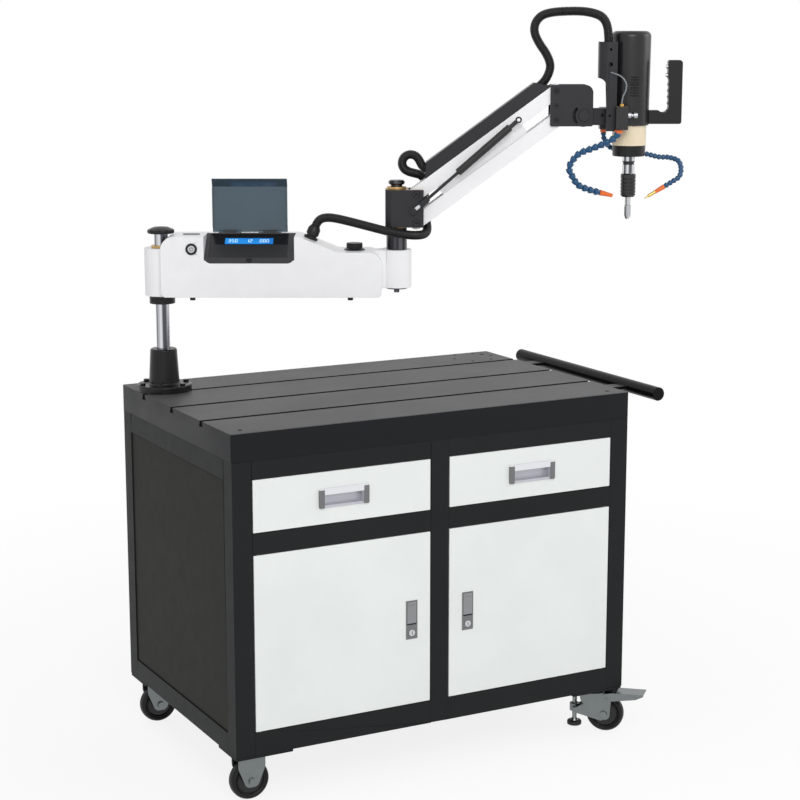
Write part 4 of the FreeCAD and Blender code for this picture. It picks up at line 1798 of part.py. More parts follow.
def make_holder():
    """Flat bar with a round eye on the tilt bolt, ending in a saddle against the motor's side."""
    w = TILT_TONGUE_HALF_WIDTH
    saddle = REAR_VALVE_RIGHT + AIR_GAP
    into = SPINDLE_U - MOTOR_RADIUS / 2
    bar = fuse_all([
        box(TILT_U, into, -w, w, HOLDER_BOTTOM, HOLDER_TOP),
        rod_y(TILT_U, TILT_Z, -w, w, TILT_DISC_RADIUS),
        box(saddle, into, -SADDLE_HALF_WIDTH, SADDLE_HALF_WIDTH, HOLDER_BOTTOM + 2, HOLDER_TOP),
    ])
    bar = bar.cut(motor_cone(OVERRUN, OVERRUN))
    bar = bar.cut(rod_y(TILT_U, TILT_Z, -w - 1, w + 1, TILT_BOLT_RADIUS + RUNNING_FIT))
    middle = (TILT_U + TILT_DISC_RADIUS + saddle) / 2
    return bar.cut(rod_y(middle, TILT_Z, -w - 1, w + 1, HOLDER_HOLE_RADIUS))


def make_cable_channel():
    """Folded upright channel in front of the holder, round on its left, that takes the conduit down."""
    t = CHANNEL_SHEET
    back = -TILT_TONGUE_HALF_WIDTH
    outside = prism_z([
        (CHANNEL_LEFT, back, 0), (CHANNEL_LEFT, CHANNEL_FRONT, CHANNEL_RADIUS),
        (CHANNEL_RIGHT, CHANNEL_FRONT, 1.0), (CHANNEL_RIGHT, back, 0),
    ], CHANNEL_BOTTOM, CHANNEL_TOP)
    inside = prism_z([
        (CHANNEL_LEFT + t, back + 1, 0), (CHANNEL_LEFT + t, CHANNEL_FRONT + t, CHANNEL_RADIUS - t),
        (CHANNEL_RIGHT - t, CHANNEL_FRONT + t, 0), (CHANNEL_RIGHT - t, back + 1, 0),
    ], CHANNEL_BOTTOM - 1, CHANNEL_TOP + 1)
    channel = outside.cut(inside).cut(motor_cone(OVERRUN, OVERRUN))
    inner = CHANNEL_LEFT + CHANNEL_CUT_DEPTH
    away = prism_y([
        (CHANNEL_LEFT - 5, CHANNEL_BOTTOM - 5, 0), (inner, CHANNEL_BOTTOM - 5, 0),
        (inner, CHANNEL_CUT, CHANNEL_CUT_RADIUS),
        (CHANNEL_LEFT - 5, CHANNEL_CUT, 0),
    ], CHANNEL_FRONT - 5, 0)
    channel = channel.cut(away)
    front = CHANNEL_FRONT - 1
    past = CHANNEL_FRONT + t + 1
    holes = [rod_y(CHANNEL_HOLE_U, z, front, past, radius) for z, radius in CHANNEL_HOLES]
    channel = cut_all(channel, holes)
    ledge = box(inner, CHANNEL_RIGHT - t, CHANNEL_FRONT + t, -SADDLE_HALF_WIDTH,
                HOLDER_BOTTOM + 4, HOLDER_BOTTOM + 10)
    return fuse_all([channel, ledge.cut(motor_cone(OVERRUN, OVERRUN))])


def make_motor():
    """Motor housing: a tapering can with a rounded top edge and a rack of cooling slots in front."""
    r = MOTOR_RADIUS
    can = motor_cone(0, 0)
    rim = [edge for edge in can.Edges if edge.BoundBox.ZMin > MOTOR_TOP - 0.1]
    can = can.makeFillet(MOTOR_CORNER, rim)
    slots = []
    start = SPINDLE_U + MOTOR_VENT_START
    for k in range(MOTOR_VENTS):
        z = MOTOR_VENT_TOP - k * MOTOR_VENT_PITCH
        slots.append(box(start, start + MOTOR_VENT_LENGTH, -r - 1, -r + MOTOR_VENT_DEPTH,
                         z - MOTOR_VENT_HEIGHT, z))
    return cut_all(can, slots)


def make_nose():
    """Reduction gear's collar below the motor, and the dark end cap that the spindle comes out of."""
    u = SPINDLE_U
    bore = SPINDLE_RADIUS + RUNNING_FIT
    collar = ring_z(u, 0, NOSE_BOTTOM, MOTOR_BOTTOM, NOSE_RADIUS, bore)
    cap = turned([
        (bore, NOSE_CAP_BOTTOM), (NOSE_CAP_RADIUS - 2, NOSE_CAP_BOTTOM),
        (NOSE_CAP_RADIUS, NOSE_CAP_BOTTOM + 2),
        (NOSE_CAP_RADIUS, NOSE_BOTTOM), (bore, NOSE_BOTTOM),
    ], V(u, 0, 0))
    return collar, cap


def make_spindle():
    """Spindle with a grooved nose and the long neck that the chuck's sleeve slides on."""
    r = SPINDLE_RADIUS
    groove = SPINDLE_BOTTOM + GROOVE_BOTTOM
    return turned([
        (TAP_RADIUS + RUNNING_FIT, SPINDLE_NECK_BOTTOM), (SPINDLE_NECK_RADIUS, SPINDLE_NECK_BOTTOM),
        (SPINDLE_NECK_RADIUS, SPINDLE_BOTTOM), (r, SPINDLE_BOTTOM), (r, groove),
        (r - GROOVE_DEPTH, groove + 1), (r - GROOVE_DEPTH, groove + 1 + GROOVE_WIDTH),
        (r, groove + 2 + GROOVE_WIDTH),
        (r, MOTOR_BOTTOM - AIR_GAP), (0, MOTOR_BOTTOM - AIR_GAP), (0, TAP_TOP),
        (TAP_RADIUS + RUNNING_FIT, TAP_TOP),
    ], V(SPINDLE_U, 0, 0))


def make_chuck():
    """Quick-change sleeve with turned grip grooves."""
    bore = SPINDLE_NECK_RADIUS + RUNNING_FIT
    r = CHUCK_RADIUS
    pitch = (CHUCK_TOP - CHUCK_BOTTOM - CHUCK_PLAIN) / CHUCK_GROOVES
    side = []
    for k in range(CHUCK_GROOVES):
        z = CHUCK_BOTTOM + CHUCK_FIRST + pitch * k
        side += [(r, z), (r - CHUCK_GROOVE_DEPTH, z + CHUCK_GROOVE_SLOPE),
                 (r - CHUCK_GROOVE_DEPTH, z + CHUCK_GROOVE_WIDTH - CHUCK_GROOVE_SLOPE),
                 (r, z + CHUCK_GROOVE_WIDTH)]
    profile = [(bore, CHUCK_BOTTOM), (r - 4, CHUCK_BOTTOM), (r, CHUCK_BOTTOM + 5)] + side
    profile += [(r, CHUCK_TOP - 2), (r - 2, CHUCK_TOP), (bore, CHUCK_TOP)]
    return turned(profile, V(SPINDLE_U, 0, 0))


def make_tap():
    """Machine tap: plain shank, and a fluted cutting end with a chamfered tip."""
    r = TAP_RADIUS
    fluted = TAP_BOTTOM + TAP_FLUTED_LENGTH
    body = turned([
        (0, TAP_BOTTOM), (r - 3, TAP_BOTTOM), (r, TAP_BOTTOM + TAP_TIP * 2), (r, fluted),
        (r - 1, fluted + 1), (r - 1, SPINDLE_NECK_BOTTOM - TAP_SHANK), (r, SPINDLE_NECK_BOTTOM - TAP_SHANK),
        (r, TAP_TOP), (0, TAP_TOP),
    ], V(SPINDLE_U, 0, 0))
    flutes = []
    for a, b in on_circle(TAP_FLUTES, r + TAP_FLUTE_OUT, TAP_FLUTE_FIRST):
        flutes.append(rod_z(SPINDLE_U + a, b, TAP_BOTTOM - 1, fluted - 4, TAP_FLUTE_RADIUS))
    return cut_all(body, flutes)


def grip_buttons():
    """Heights of the two push buttons on the grip."""
    return {"upper": GRIP_BUTTON_TOP, "lower": GRIP_BUTTON_TOP - GRIP_BUTTON_PITCH}


def make_head_handle():
    """Moulded handle: a flat arm from the motor's side to an upright grip with finger hollows."""
    w = GRIP_HALF_WIDTH
    arm = box(SPINDLE_U + MOTOR_RADIUS / 2, GRIP_RIGHT - 10, -w, w, GRIP_ARM_BOTTOM, GRIP_ARM_TOP)
    grip = prism_y([(GRIP_LEFT, GRIP_ARM_BOTTOM, 2), (GRIP_RIGHT, GRIP_ARM_BOTTOM, 6),
                    (GRIP_RIGHT, GRIP_TOP, 8), (GRIP_LEFT, GRIP_TOP, 5)], -w, w)
    handle = fuse_all([arm.cut(motor_cone(OVERRUN, OVERRUN)), grip])
    cuts = []
    for k in range(GRIP_NOTCHES):
        z = GRIP_ARM_TOP + GRIP_NOTCH_START + GRIP_NOTCH_PITCH * k
        hollow = GRIP_LEFT - GRIP_NOTCH_RADIUS + GRIP_NOTCH_DEPTH
        cuts.append(rod_y(hollow, z, -w - 1, w + 1, GRIP_NOTCH_RADIUS))
    for z in grip_buttons().values():
        cuts.append(rod(V(GRIP_LEFT - 5, 0, z), V(GRIP_LEFT + GRIP_BUTTON_DEPTH + 4, 0, z),
                        GRIP_BUTTON_RADIUS + RUNNING_FIT))
    return cut_all(handle, cuts)


def make_grip_button(z):
    """Push button in the grip."""
    end = V(GRIP_LEFT + GRIP_BUTTON_DEPTH, 0, z)
    return rod(V(GRIP_LEFT - GRIP_BUTTON_PROUD, 0, z), end, GRIP_BUTTON_RADIUS)


def make_valves():
    """Two coolant valve blocks: the near one on the channel, the far one on the holder's back."""
    near = box(VALVE_LEFT, VALVE_RIGHT, VALVE_FRONT, CHANNEL_FRONT, VALVE_BOTTOM, VALVE_TOP)
    x = (VALVE_LEFT + VALVE_RIGHT) / 2
    y = (VALVE_FRONT + CHANNEL_FRONT) / 2
    elbow = rod_z(x, y, VALVE_TOP, VALVE_TOP + VALVE_FITTING_HEIGHT, VALVE_FITTING_RADIUS)
    side = turned(VALVE_TAP, V(VALVE_RIGHT, y, VALVE_TOP - VALVE_TAP_DROP), V(1, 0, 0))
    far = box(REAR_VALVE_LEFT, REAR_VALVE_RIGHT, TILT_TONGUE_HALF_WIDTH, REAR_VALVE_BACK,
              REAR_VALVE_BOTTOM, REAR_VALVE_TOP)
    return fuse_all([near, elbow, side]), far


# ------------------------------------------------------------------ machine: coolant hoses
def make_hose(nut_top, nut, route, cup, nozzle):
    """Nut under a valve, tapering ball-and-cup links along a smooth curve, and a stepped nozzle."""
    nut_radius, nut_length = nut
    pitch, bell, waist = cup
    start = nut_top - UP * nut_length
    curve = Part.BSplineCurve()
    curve.interpolate(Points=[start] + [V(*point) for point in route], InitialTangent=-UP)
    count = int(round(curve.length() / pitch))
    joints = curve.discretize(Number=count + 1)
    pieces = [rod(start, nut_top, nut_radius)]
    for begin, end in zip(joints[:-1], joints[1:]):
        step = (end - begin).normalize()
        pieces.append(cone(begin - step * HOSE_CUP_OVERLAP, end, bell, waist))
    ahead = (joints[-1] - joints[-2]).normalize()
    begin = joints[-1]
    for length, first, last in nozzle:
        end = begin + ahead * length
        pieces.append(cone(begin - ahead * HOSE_CUP_OVERLAP, end, first, last - 0.01))
        begin = end
    return fuse_all(pieces)


def make_hoses():
    """The near hose under the front valve and the thinner far hose that passes behind the spindle."""
    near = V((VALVE_LEFT + VALVE_RIGHT) / 2 + VALVE_OUTLET_SHIFT, (VALVE_FRONT + CHANNEL_FRONT) / 2,
             VALVE_BOTTOM)
    far = V((REAR_VALVE_LEFT + REAR_VALVE_RIGHT) / 2, (TILT_TONGUE_HALF_WIDTH + REAR_VALVE_BACK) / 2,
            REAR_VALVE_BOTTOM)
    return [
        make_hose(near, (NEAR_NUT_RADIUS, NEAR_NUT_LENGTH), NEAR_HOSE_ROUTE,
                  (NEAR_HOSE_PITCH, NEAR_HOSE_BELL, NEAR_HOSE_WAIST), NEAR_NOZZLE),
        make_hose(far, (FAR_NUT_RADIUS, FAR_NUT_LENGTH), FAR_HOSE_ROUTE,
                  (FAR_HOSE_PITCH, FAR_HOSE_BELL, FAR_HOSE_WAIST), FAR_NOZZLE),
    ]


# ------------------------------------------------------------------ conduits
def lower_route():
    """From the gland's mouth over the housing's end and round the elbow to the loop's start."""
    foot, axis = gland_base()
    mouth = foot + axis * GLAND_LENGTH
    points = [mouth, mouth + axis * GLAND_RUN]
    points += [V(GLAND_U + share * (ELBOW_REACH - GLAND_U), v, z) for share, v, z in LOWER_ROUTE_RUN]
    return points + [V(ELBOW_REACH + u, v, z) for u, v, z in LOWER_ROUTE_TURN]


def loop_route():
    return [V(ELBOW_REACH + u, v, z) for u, v, z in LOOP_ROUTE]


def head_points(route):
    return [V(*point) for point in route]


def tube_along(name, route, radius):
    """Tube of straight runs joined by tangent arcs, each as large as its two runs allow."""
    edges = []
    radii = []
    begin = route[0]
    for before, corner, after in zip(route[:-2], route[1:-1], route[2:]):
        back = (before - corner).normalize()
        ahead = (after - corner).normalize()
        shorter = min((before - corner).Length, (after - corner).Length)
        half = (math.pi - back.getAngle(ahead)) / 2
        reach = 0.45 * shorter
        bend = reach / math.tan(half)
        radii.append(bend)
        centre_line = (back + ahead).normalize()
        start = corner + back * reach
        end = corner + ahead * reach
        middle = corner + centre_line * (bend / math.cos(half) - bend)
        edges.append(Part.LineSegment(begin, start).toShape())
        edges.append(Part.Arc(start, middle, end).toShape())
        begin = end
    edges.append(Part.LineSegment(begin, route[-1]).toShape())
    path = Part.Wire(edges)
    circle = Part.Wire(Part.makeCircle(radius, route[0], route[1] - route[0]))
    tube = path.makePipeShell([circle], True, False)
    expected = math.pi * radius ** 2 * path.Length
    print("%s: length %.0f, radii %s, volume ratio %.4f" % (
        name, path.Length, ", ".join("%.0f" % r for r in radii), tube.Volume / expected))
    return tube


# ------------------------------------------------------------------ build
def export_bench():
    export("table_top", in_bench, make_table())
    export("cabinet_frame", in_bench, *make_frame())
    export("cabinet_panels", in_bench, *(make_panels() + make_runners()))
    export("caster_mounts", in_bench, *make_caster_mounts())
    export("push_handle", in_bench, make_push_handle())
    for side in BAYS:
        export("drawer_" + side, in_bench, make_drawer(side))
        export("drawer_pull_" + side, in_bench, make_pull(side))
        export("door_" + side, in_bench, make_door(side))
        export("door_latch_" + side, in_bench, make_paddle(side))


def export_casters():
    forks = []
    for name, x, y in caster_places():
        if name.endswith("left"):
            forks.append(shift(make_fixed_fork(), x, y, 0))
            export("wheel_" + name, in_bench, shift(make_wheel(), x, y, AXLE_HEIGHT))
            continue
        end = name.split("_")[0]
        heading = SWIVEL_HEADING[end]

        def placed(shape):
            return shift(spin(shape, heading), x, y, 0)

        export("swivel_fork_" + end, in_bench, placed(make_swivel_fork()))
        export("wheel_" + name, in_bench, placed(shift(make_wheel(), SWIVEL_TRAIL, 0, AXLE_HEIGHT)))
        export("brake_pedal_" + end, in_bench, placed(make_pedal()))
        export("levelling_foot_" + end, in_bench, placed(make_foot()))
    export("fixed_forks", in_bench, *forks)


def export_machine():
    export("column_base", in_arm, make_column_base(), *make_base_bolts())
    export("column", in_arm, make_column())
    export("column_knob", in_arm, make_column_knob())
    export("column_collars", in_arm, *make_column_collars())
    export("arm_housing", in_arm, *make_housing(), *make_housing_fittings())
    export("elbow_barrel", in_arm, make_barrel())
    export("screen_bezel", in_arm, make_bezel(), *make_screen_hinges())
    export("screen_display", in_arm, screen_solid())
    export("screen_cover", in_arm, make_cover())
    export("power_button", in_arm, make_power_button())
    export("control_knob", in_arm, make_control_knob())
    export("cable_gland", in_arm, make_gland())
    export("elbow_shaft", in_arm, *make_elbow_shaft())
    export("elbow_block", in_arm, *make_elbow_block())
    for node, pieces in (("upper_link", make_upper_link()), ("lower_link", [make_lower_link()]),
                         ("cable_cover", [make_cable_cover()])):
        export(node, in_arm, *[in_link(piece) for piece in pieces])
    export("gas_cylinder", in_arm, in_spring(make_gas_cylinder()))
    export("gas_rod", in_arm, in_spring(make_gas_rod()))


def export_head():
    export("head_bracket", in_head, *make_head_bracket())
    export("head_carrier", in_head, make_holder(), make_cable_channel())
    export("motor", in_head, make_motor())
    export("motor_nose", in_head, *make_nose())
    export("spindle", in_head, make_spindle())
    export("chuck_sleeve", in_head, make_chuck())
    export("tap", in_head, make_tap())
    export("head_handle", in_head, make_head_handle())
    for name, z in grip_buttons().items():
        export("grip_button_" + name, in_head, make_grip_button(z))
    export("coolant_valves", in_head, *make_valves())
    export("coolant_hoses", in_head, *make_hoses())


def export_cables():
    for node, place, route, radius in (
            ("conduit_lower", in_arm, lower_route(), CONDUIT_RADIUS),
            ("conduit_loop", in_arm, loop_route(), CONDUIT_RADIUS),
            ("conduit_upper", in_head, head_points(UPPER_ROUTE), CONDUIT_RADIUS),
            ("conduit_head", in_head, head_points(HEAD_ROUTE), CONDUIT_RADIUS),
            ("air_tube", in_head, head_points(AIR_ROUTE), AIR_TUBE_RADIUS)):
        export(node, place, tube_along(node, route, radius))


os.makedirs("parts", exist_ok=True)
export_bench()
export_casters()
export_machine()
export_head()
export_cables()
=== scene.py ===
"""A tapping arm on a wheeled workbench, in metres.

X runs along the bench's front, Y to its back and Z up from the floor. The arm stands on a column
near the bench's left end; its own axes are u along it, v to its back and w above the table top.
"""
import json
import math

import bmesh
import bpy
import numpy as np
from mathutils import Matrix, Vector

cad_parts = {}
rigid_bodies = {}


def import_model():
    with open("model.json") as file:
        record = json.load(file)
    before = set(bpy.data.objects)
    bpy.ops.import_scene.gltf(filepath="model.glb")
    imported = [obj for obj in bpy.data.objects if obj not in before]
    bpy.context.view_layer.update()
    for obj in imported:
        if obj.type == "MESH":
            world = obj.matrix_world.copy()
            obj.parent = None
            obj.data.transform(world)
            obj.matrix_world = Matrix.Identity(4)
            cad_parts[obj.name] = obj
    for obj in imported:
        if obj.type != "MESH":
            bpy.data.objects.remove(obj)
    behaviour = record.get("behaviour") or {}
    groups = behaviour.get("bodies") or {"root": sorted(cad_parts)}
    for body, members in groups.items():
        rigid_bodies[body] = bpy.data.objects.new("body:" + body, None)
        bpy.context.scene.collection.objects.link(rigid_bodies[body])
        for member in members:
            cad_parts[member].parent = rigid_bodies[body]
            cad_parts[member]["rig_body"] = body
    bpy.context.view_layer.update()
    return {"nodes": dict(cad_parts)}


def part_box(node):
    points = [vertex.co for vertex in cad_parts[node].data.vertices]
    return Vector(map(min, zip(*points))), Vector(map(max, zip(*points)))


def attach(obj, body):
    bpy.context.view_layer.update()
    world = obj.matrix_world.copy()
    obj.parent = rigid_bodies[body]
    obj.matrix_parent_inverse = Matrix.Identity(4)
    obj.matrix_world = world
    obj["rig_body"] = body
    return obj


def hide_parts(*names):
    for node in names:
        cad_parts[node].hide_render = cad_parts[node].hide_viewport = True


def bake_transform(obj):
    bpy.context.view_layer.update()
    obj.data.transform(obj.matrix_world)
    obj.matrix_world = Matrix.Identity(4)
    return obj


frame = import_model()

# ------------ studio
# A pale floor runs on under the bench into a white surround. A wide soft lamp at the front left
# and a weaker one at the right shape the forms, and the white surround fills the shadows.
EDGE = 0.0002  # half the width of an edge between two finishes, in metres


class Flow:
    """A number, colour or vector on its way through a material; arithmetic on it adds Math nodes."""

    def __init__(self, tree, socket=None):
        self.tree, self.socket = tree, socket

    def node(self, kind, sockets=None, out=0, **settings):
        """The output named or numbered out of a new node: settings first, then values or links."""
        made = self.tree.nodes.new("ShaderNode" + kind)
        for key, value in settings.items():
            setattr(made, key, value)
        for key, value in (sockets or {}).items():
            if isinstance(value, Flow):
                self.tree.links.new(value.socket, made.inputs[key])
            else:
                made.inputs[key].default_value = value
        return Flow(self.tree, made.outputs[out] if len(made.outputs) else None)

    def maths(self, operation, *values):
        """Result of one Math node on the given values, Flows or plain numbers."""
        return self.node("Math", dict(enumerate(values)), operation=operation)

    def __add__(self, other):
        return self.maths("ADD", self, other)

    def __sub__(self, other):
        return self.maths("SUBTRACT", self, other)

    def __rsub__(self, other):
        return self.maths("SUBTRACT", other, self)

    def __mul__(self, other):
        return self.maths("MULTIPLY", self, other)

    def __or__(self, other):
        """The greater of the two."""
        return self.maths("MAXIMUM", self, other)

    __radd__, __rmul__ = __add__, __mul__

    def away(self, other):
        """How far the point with this number and the other as its coordinates is from 0."""
        return self.maths("SQRT", self * self + other * other)

    def rise(self, low, high):
        """0 below low, 1 above high and a smooth step between them."""
        return self.node("MapRange", {"Value": self, "From Min": low, "From Max": high},
                         interpolation_type="SMOOTHSTEP")

    def between(self, first, second):
        """Colour that goes from first to second as this number goes from 0 to 1."""
        return self.node("MixRGB", {"Fac": self, "Color1": first, "Color2": second})

    def parts(self):
        """The three numbers of this vector."""
        split = self.node("SeparateXYZ", {"Vector": self})
        return [Flow(self.tree, socket) for socket in split.socket.node.outputs]

    def grain(self, size, detail=3.0, stretch=(1.0, 1.0, 1.0)):
        """Cloudy number about 0.5 whose blots are size across, read at this vector."""
        spread = self.node("Mapping", {"Vector": self, "Scale": stretch})
        return self.node("TexNoise", {"Vector": spread, "Scale": 1 / size, "Detail": detail})

    def clouds(self, size, detail=4.0):
        """0 in the gaps and 1 in the thick of clouds whose blots are size across."""
        return self.grain(size, detail).rise(0.3, 0.7)

    def bumped(self, depth):
        """Surface direction where this number stands depth metres high."""
        return self.node("Bump", {"Height": self, "Distance": depth, "Strength": 1.0})

    def past(self, level):
        """1 where this number is over level and 0 under it, with a soft edge between them."""
        return self.rise(level - EDGE, level + EDGE)

    def within(self, low, high):
        """1 where this number lies between two levels, 0 outside them."""
        return self.past(low) * (1 - self.past(high))


def finish(name, shader_of):
    """Material named name; shader_of gets the piece's own coordinates and gives the shader."""
    made = bpy.data.materials.new(name)
    made.use_nodes = True
    made.node_tree.nodes.clear()
    place = Flow(made.node_tree).node("TexCoord", out="Object")
    place.node("OutputMaterial", {"Surface": shader_of(place)})
    return made


def coat(place, colour, roughness, metallic=0.0, shine=0.5, relief=None, **more):
    """Surface with one shader. Shine is how mirror-like it is seen square on; relief is its
    surface direction, or the size and depth of its fine grain in metres."""
    if isinstance(relief, tuple):
        relief = place.grain(relief[0], 2.0).bumped(relief[1])
    if relief:
        more["Normal"] = relief
    return place.node("BsdfPrincipled", {"Base Color": colour, "Roughness": roughness,
                                         "Metallic": metallic, "Specular IOR Level": shine, **more})


def shade(red, green, blue):
    """A colour given as a screen shows it, 0 to 255, in the linear values that nodes take."""
    c = np.array((red, green, blue)) / 255
    linear = np.where(c <= 0.04045, c / 12.92, ((c + 0.055) / 1.055) ** 2.4)
    return (*linear.tolist(), 1.0)


def seen_rays(flow):
    """1 for the rays that see the background: straight, mirrored or through something clear."""
    seen = flow.node("LightPath", out="Is Camera Ray")
    for ray in ("Is Glossy Ray", "Is Transmission Ray"):
        seen = seen | flow.node("LightPath", out=ray)
    return seen


def floor_shader(place):
    """Matt pale floor that takes the bench's shadow and fades into the white surround."""
    distance = place.node("VectorMath", {0: place}, out="Value", operation="LENGTH")
    matt = place.node("BsdfDiffuse", {"Color": shade(250, 250, 250)})
    glow = place.node("Emission", {"Color": WHITE_LIGHT})
    share = distance.rise(*FLOOR_FADE) * (1 - FLOOR_GLOW) + FLOOR_GLOW
    return place.node("MixShader", {0: share * seen_rays(place), 1: matt, 2: glow})


def placed(name, data):
    """Object of a mesh, a lamp or a camera, in the scene."""
    made = bpy.data.objects.new(name, data)
    bpy.context.collection.objects.link(made)
    return made


def mesh_of(name, points, faces):
    """Mesh of the given corners and faces."""
    mesh = bpy.data.meshes.new(name)
    mesh.from_pydata(np.reshape(points, (-1, 3)).tolist(), [], np.asarray(faces).tolist())
    return mesh


WHITE_LIGHT = (1.0, 1.0, 1.0, 1.0)
FLOOR_HALF = 40.0
FLOOR_FADE = (0.5, 3.2)  # where the floor starts to fade into white, and where it has
FLOOR_GLOW = 0.85  # share of white seen in the floor under the bench
corners = np.array([(-1, -1, 0), (1, -1, 0), (1, 1, 0), (-1, 1, 0)]) * FLOOR_HALF
mesh = mesh_of("floor", corners, [(0, 1, 2, 3)])
mesh.materials.append(finish("floor paint", floor_shader))
placed("floor", mesh)

SURROUND_FILL = 0.56  # how much of the light comes evenly from all round
world = bpy.data.worlds.new("surround")
world.use_nodes = True
world.node_tree.nodes.clear()
sky = seen_rays(Flow(world.node_tree))
sky.node("OutputWorld", {"Surface": sky.node("Background", {
    "Color": WHITE_LIGHT, "Strength": SURROUND_FILL + sky * (1.0 - SURROUND_FILL)})})
bpy.context.scene.world = world

LAMPS = (  # name, place, the point it is aimed at, width in metres and watts
    ("front lamp", (-1.7, -4.1, 3.6), (0.0, 0.0, 0.7), 2.4, 92.0),
    ("side lamp", (3.4, -1.6, 2.6), (0.2, 0.0, 0.9), 2.0, 32.0))
for name, place, aim, size, power in LAMPS:
    lamp = placed(name, bpy.data.lights.new(name, "AREA"))
    lamp.data.size = size
    lamp.data.energy = power
    lamp.location = place
    toward = lamp.location.copy()
    toward[:] = np.array(aim) - np.array(place)
    lamp.rotation_euler = toward.to_track_quat("-Z", "Y").to_euler()

CAMERA_PLACE = (-2.306, -4.3285, 1.8373)
CAMERA_YAW, CAMERA_DIP = 28.17, 11.11  # degrees right of +Y, and below level
FOCAL_LENGTH = 86.8  # millimetres, on a 36 mm sensor
camera = placed("camera", bpy.data.cameras.new("camera"))
camera.data.lens = FOCAL_LENGTH
camera.location = CAMERA_PLACE
camera.rotation_euler = (math.radians(90.0 - CAMERA_DIP), 0.0, math.radians(-CAMERA_YAW))
bpy.context.scene.camera = camera
bpy.context.scene.view_settings.view_transform = "Standard"

# ------------ table top
# A cast iron plate with three T-slots and a painted skirt all round. The top is ground: a satin
# grey with fine marks along its length. Its corners are drilled, and its edges lightly broken.
WELD = 2e-6  # corners nearer than this are one, in metres
FLAT_TURN, CREASE = math.radians(0.4), math.radians(32.0)  # faces made one; edges kept sharp


def joined(node, name):
    """Mesh of a CAD node's triangles with their corners joined and flat faces made whole."""
    source = frame["nodes"][node].data
    points = np.empty(len(source.vertices) * 3)
    source.vertices.foreach_get("co", points)
    corners = np.empty(len(source.loops), int)
    source.loops.foreach_get("vertex_index", corners)
    mesh = mesh_of(name, points, corners.reshape(-1, 3))
    work = bmesh.new()
    work.from_mesh(mesh)
    bmesh.ops.remove_doubles(work, verts=work.verts, dist=WELD)
    loose = [vert for vert in work.verts if not vert.link_faces]
    bmesh.ops.delete(work, geom=loose, context="VERTS")
    bmesh.ops.dissolve_limit(work, angle_limit=FLAT_TURN, verts=work.verts, edges=work.edges)
    work.to_mesh(mesh)
    work.free()
    return mesh


def linked(name, mesh, body, material):
    """Object of a mesh on its body, smooth but for the edges that turn by more than CREASE."""
    mesh.materials.append(material)
    mesh.shade_smooth()
    mesh.set_sharp_from_angle(angle=CREASE)
    piece = placed(name, mesh)
    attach(piece, body)
    return piece


def dressed(node, material, edge):
    """A CAD node's own form with its finish on, and its sharp edges broken by edge metres."""
    body = frame["nodes"][node]["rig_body"]
    name = node + "_finished"
    piece = linked(name, joined(node, name), body, material)
    if edge:
        rounding = piece.modifiers.new("edges", "BEVEL")
        rounding.width = edge
        rounding.segments = 2
        rounding.limit_method = "ANGLE"
        rounding.angle_limit = CREASE
        rounding.use_clamp_overlap = False
        rounding.harden_normals = True
    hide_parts(node)


def tinted(colour, scale):
    """A colour made lighter or darker by a scale."""
    return tuple(np.clip(np.array(colour[:3]) * scale, 0, 1)) + (1.0,)


def painted(name, colour, roughness, peel, depth, mottle=0.05, shine=0.2):
    """Sprayed coat: an orange peel of the given size, and a colour a few percent uneven."""
    low, high = tinted(colour, 1 - mottle), tinted(colour, 1 + mottle)

    def shader_of(place):
        sheen = roughness + (place.grain(0.035, 4.0) - 0.5) * 0.12
        return coat(place, place.clouds(0.18).between(low, high), sheen, shine=shine,
                    relief=(peel, depth))
    return finish(name, shader_of)


TABLE_HEIGHT = 0.910
SKIRT_TOP = (-0.030, -0.020)  # where paint gives way to bare iron, from the top
SKIRT_BLACK, IRON = shade(27, 28, 31), (shade(76, 76, 77), shade(92, 92, 93))


def table_shader(place):
    """Ground grey on what faces up at the top's level; the same black paint elsewhere."""
    x, y, z = place.parts()
    up = place.node("NewGeometry", out="Normal").parts()[2]
    ground = up.rise(0.6, 0.8) * z.rise(*(TABLE_HEIGHT + level for level in SKIRT_TOP))
    marks = place.grain(0.002, 4.0, (0.05, 1.0, 1.0))
    stains = place.grain(0.16, 5.0).rise(0.35, 0.7)
    peel = place.grain(0.0012, 2.0)
    iron = (stains * 0.6 + marks * 0.4).between(*IRON)
    relief = peel * (1 - ground) + marks * ground * 0.7
    return coat(place, ground.between(SKIRT_BLACK, iron), ground * 0.08 + 0.36 + stains * 0.08,
                ground * 0.2, 0.12, relief.bumped(0.00003))


dressed("table_top", finish("ground iron and black paint", table_shader), 0.0008)

# ------------ cabinet frame and panels
# Square tube posts and rails, welded and powder coated in a fine black texture, with matt
# sheet panels let into the ends and the back.
frame_paint = painted("black powder coat", shade(34, 35, 36), 0.5, 0.0015, 0.00004, shine=0.1)
panel_paint = painted("matt panel paint", shade(40, 40, 37), 0.6, 0.0011, 0.00003, shine=0.1)
dressed("cabinet_frame", frame_paint, 0.0007)
dressed("cabinet_panels", panel_paint, 0.0004)

# ------------ drawers and doors
# Folded steel fronts with a pale grey powder coat: drawers on runners, doors on pivot pins. The
# cup pulls and paddle latches are let into them, die cast and satin plated.
FRONT_GREY, PRESSED_GREY = shade(232, 236, 234), (shade(230, 234, 232), shade(234, 238, 236))
front_paint = painted("pale grey powder coat", FRONT_GREY, 0.38, 0.0013, 0.00002, 0.012, 0.4)
LATCH_HALF, LATCH_TALL = 0.016, 0.049  # half the latch plate's width and height
LATCH_FROM_PADDLE, CUP_FACE = 0.0457, 0.004  # its centre below the paddle's top; its cup's depth
LOCK_BELOW, LOCK_RADIUS = 0.033, 0.008  # lock's centre below the plate's
KEY_HALF = (0.0009, 0.0045)  # half the keyhole's width and height


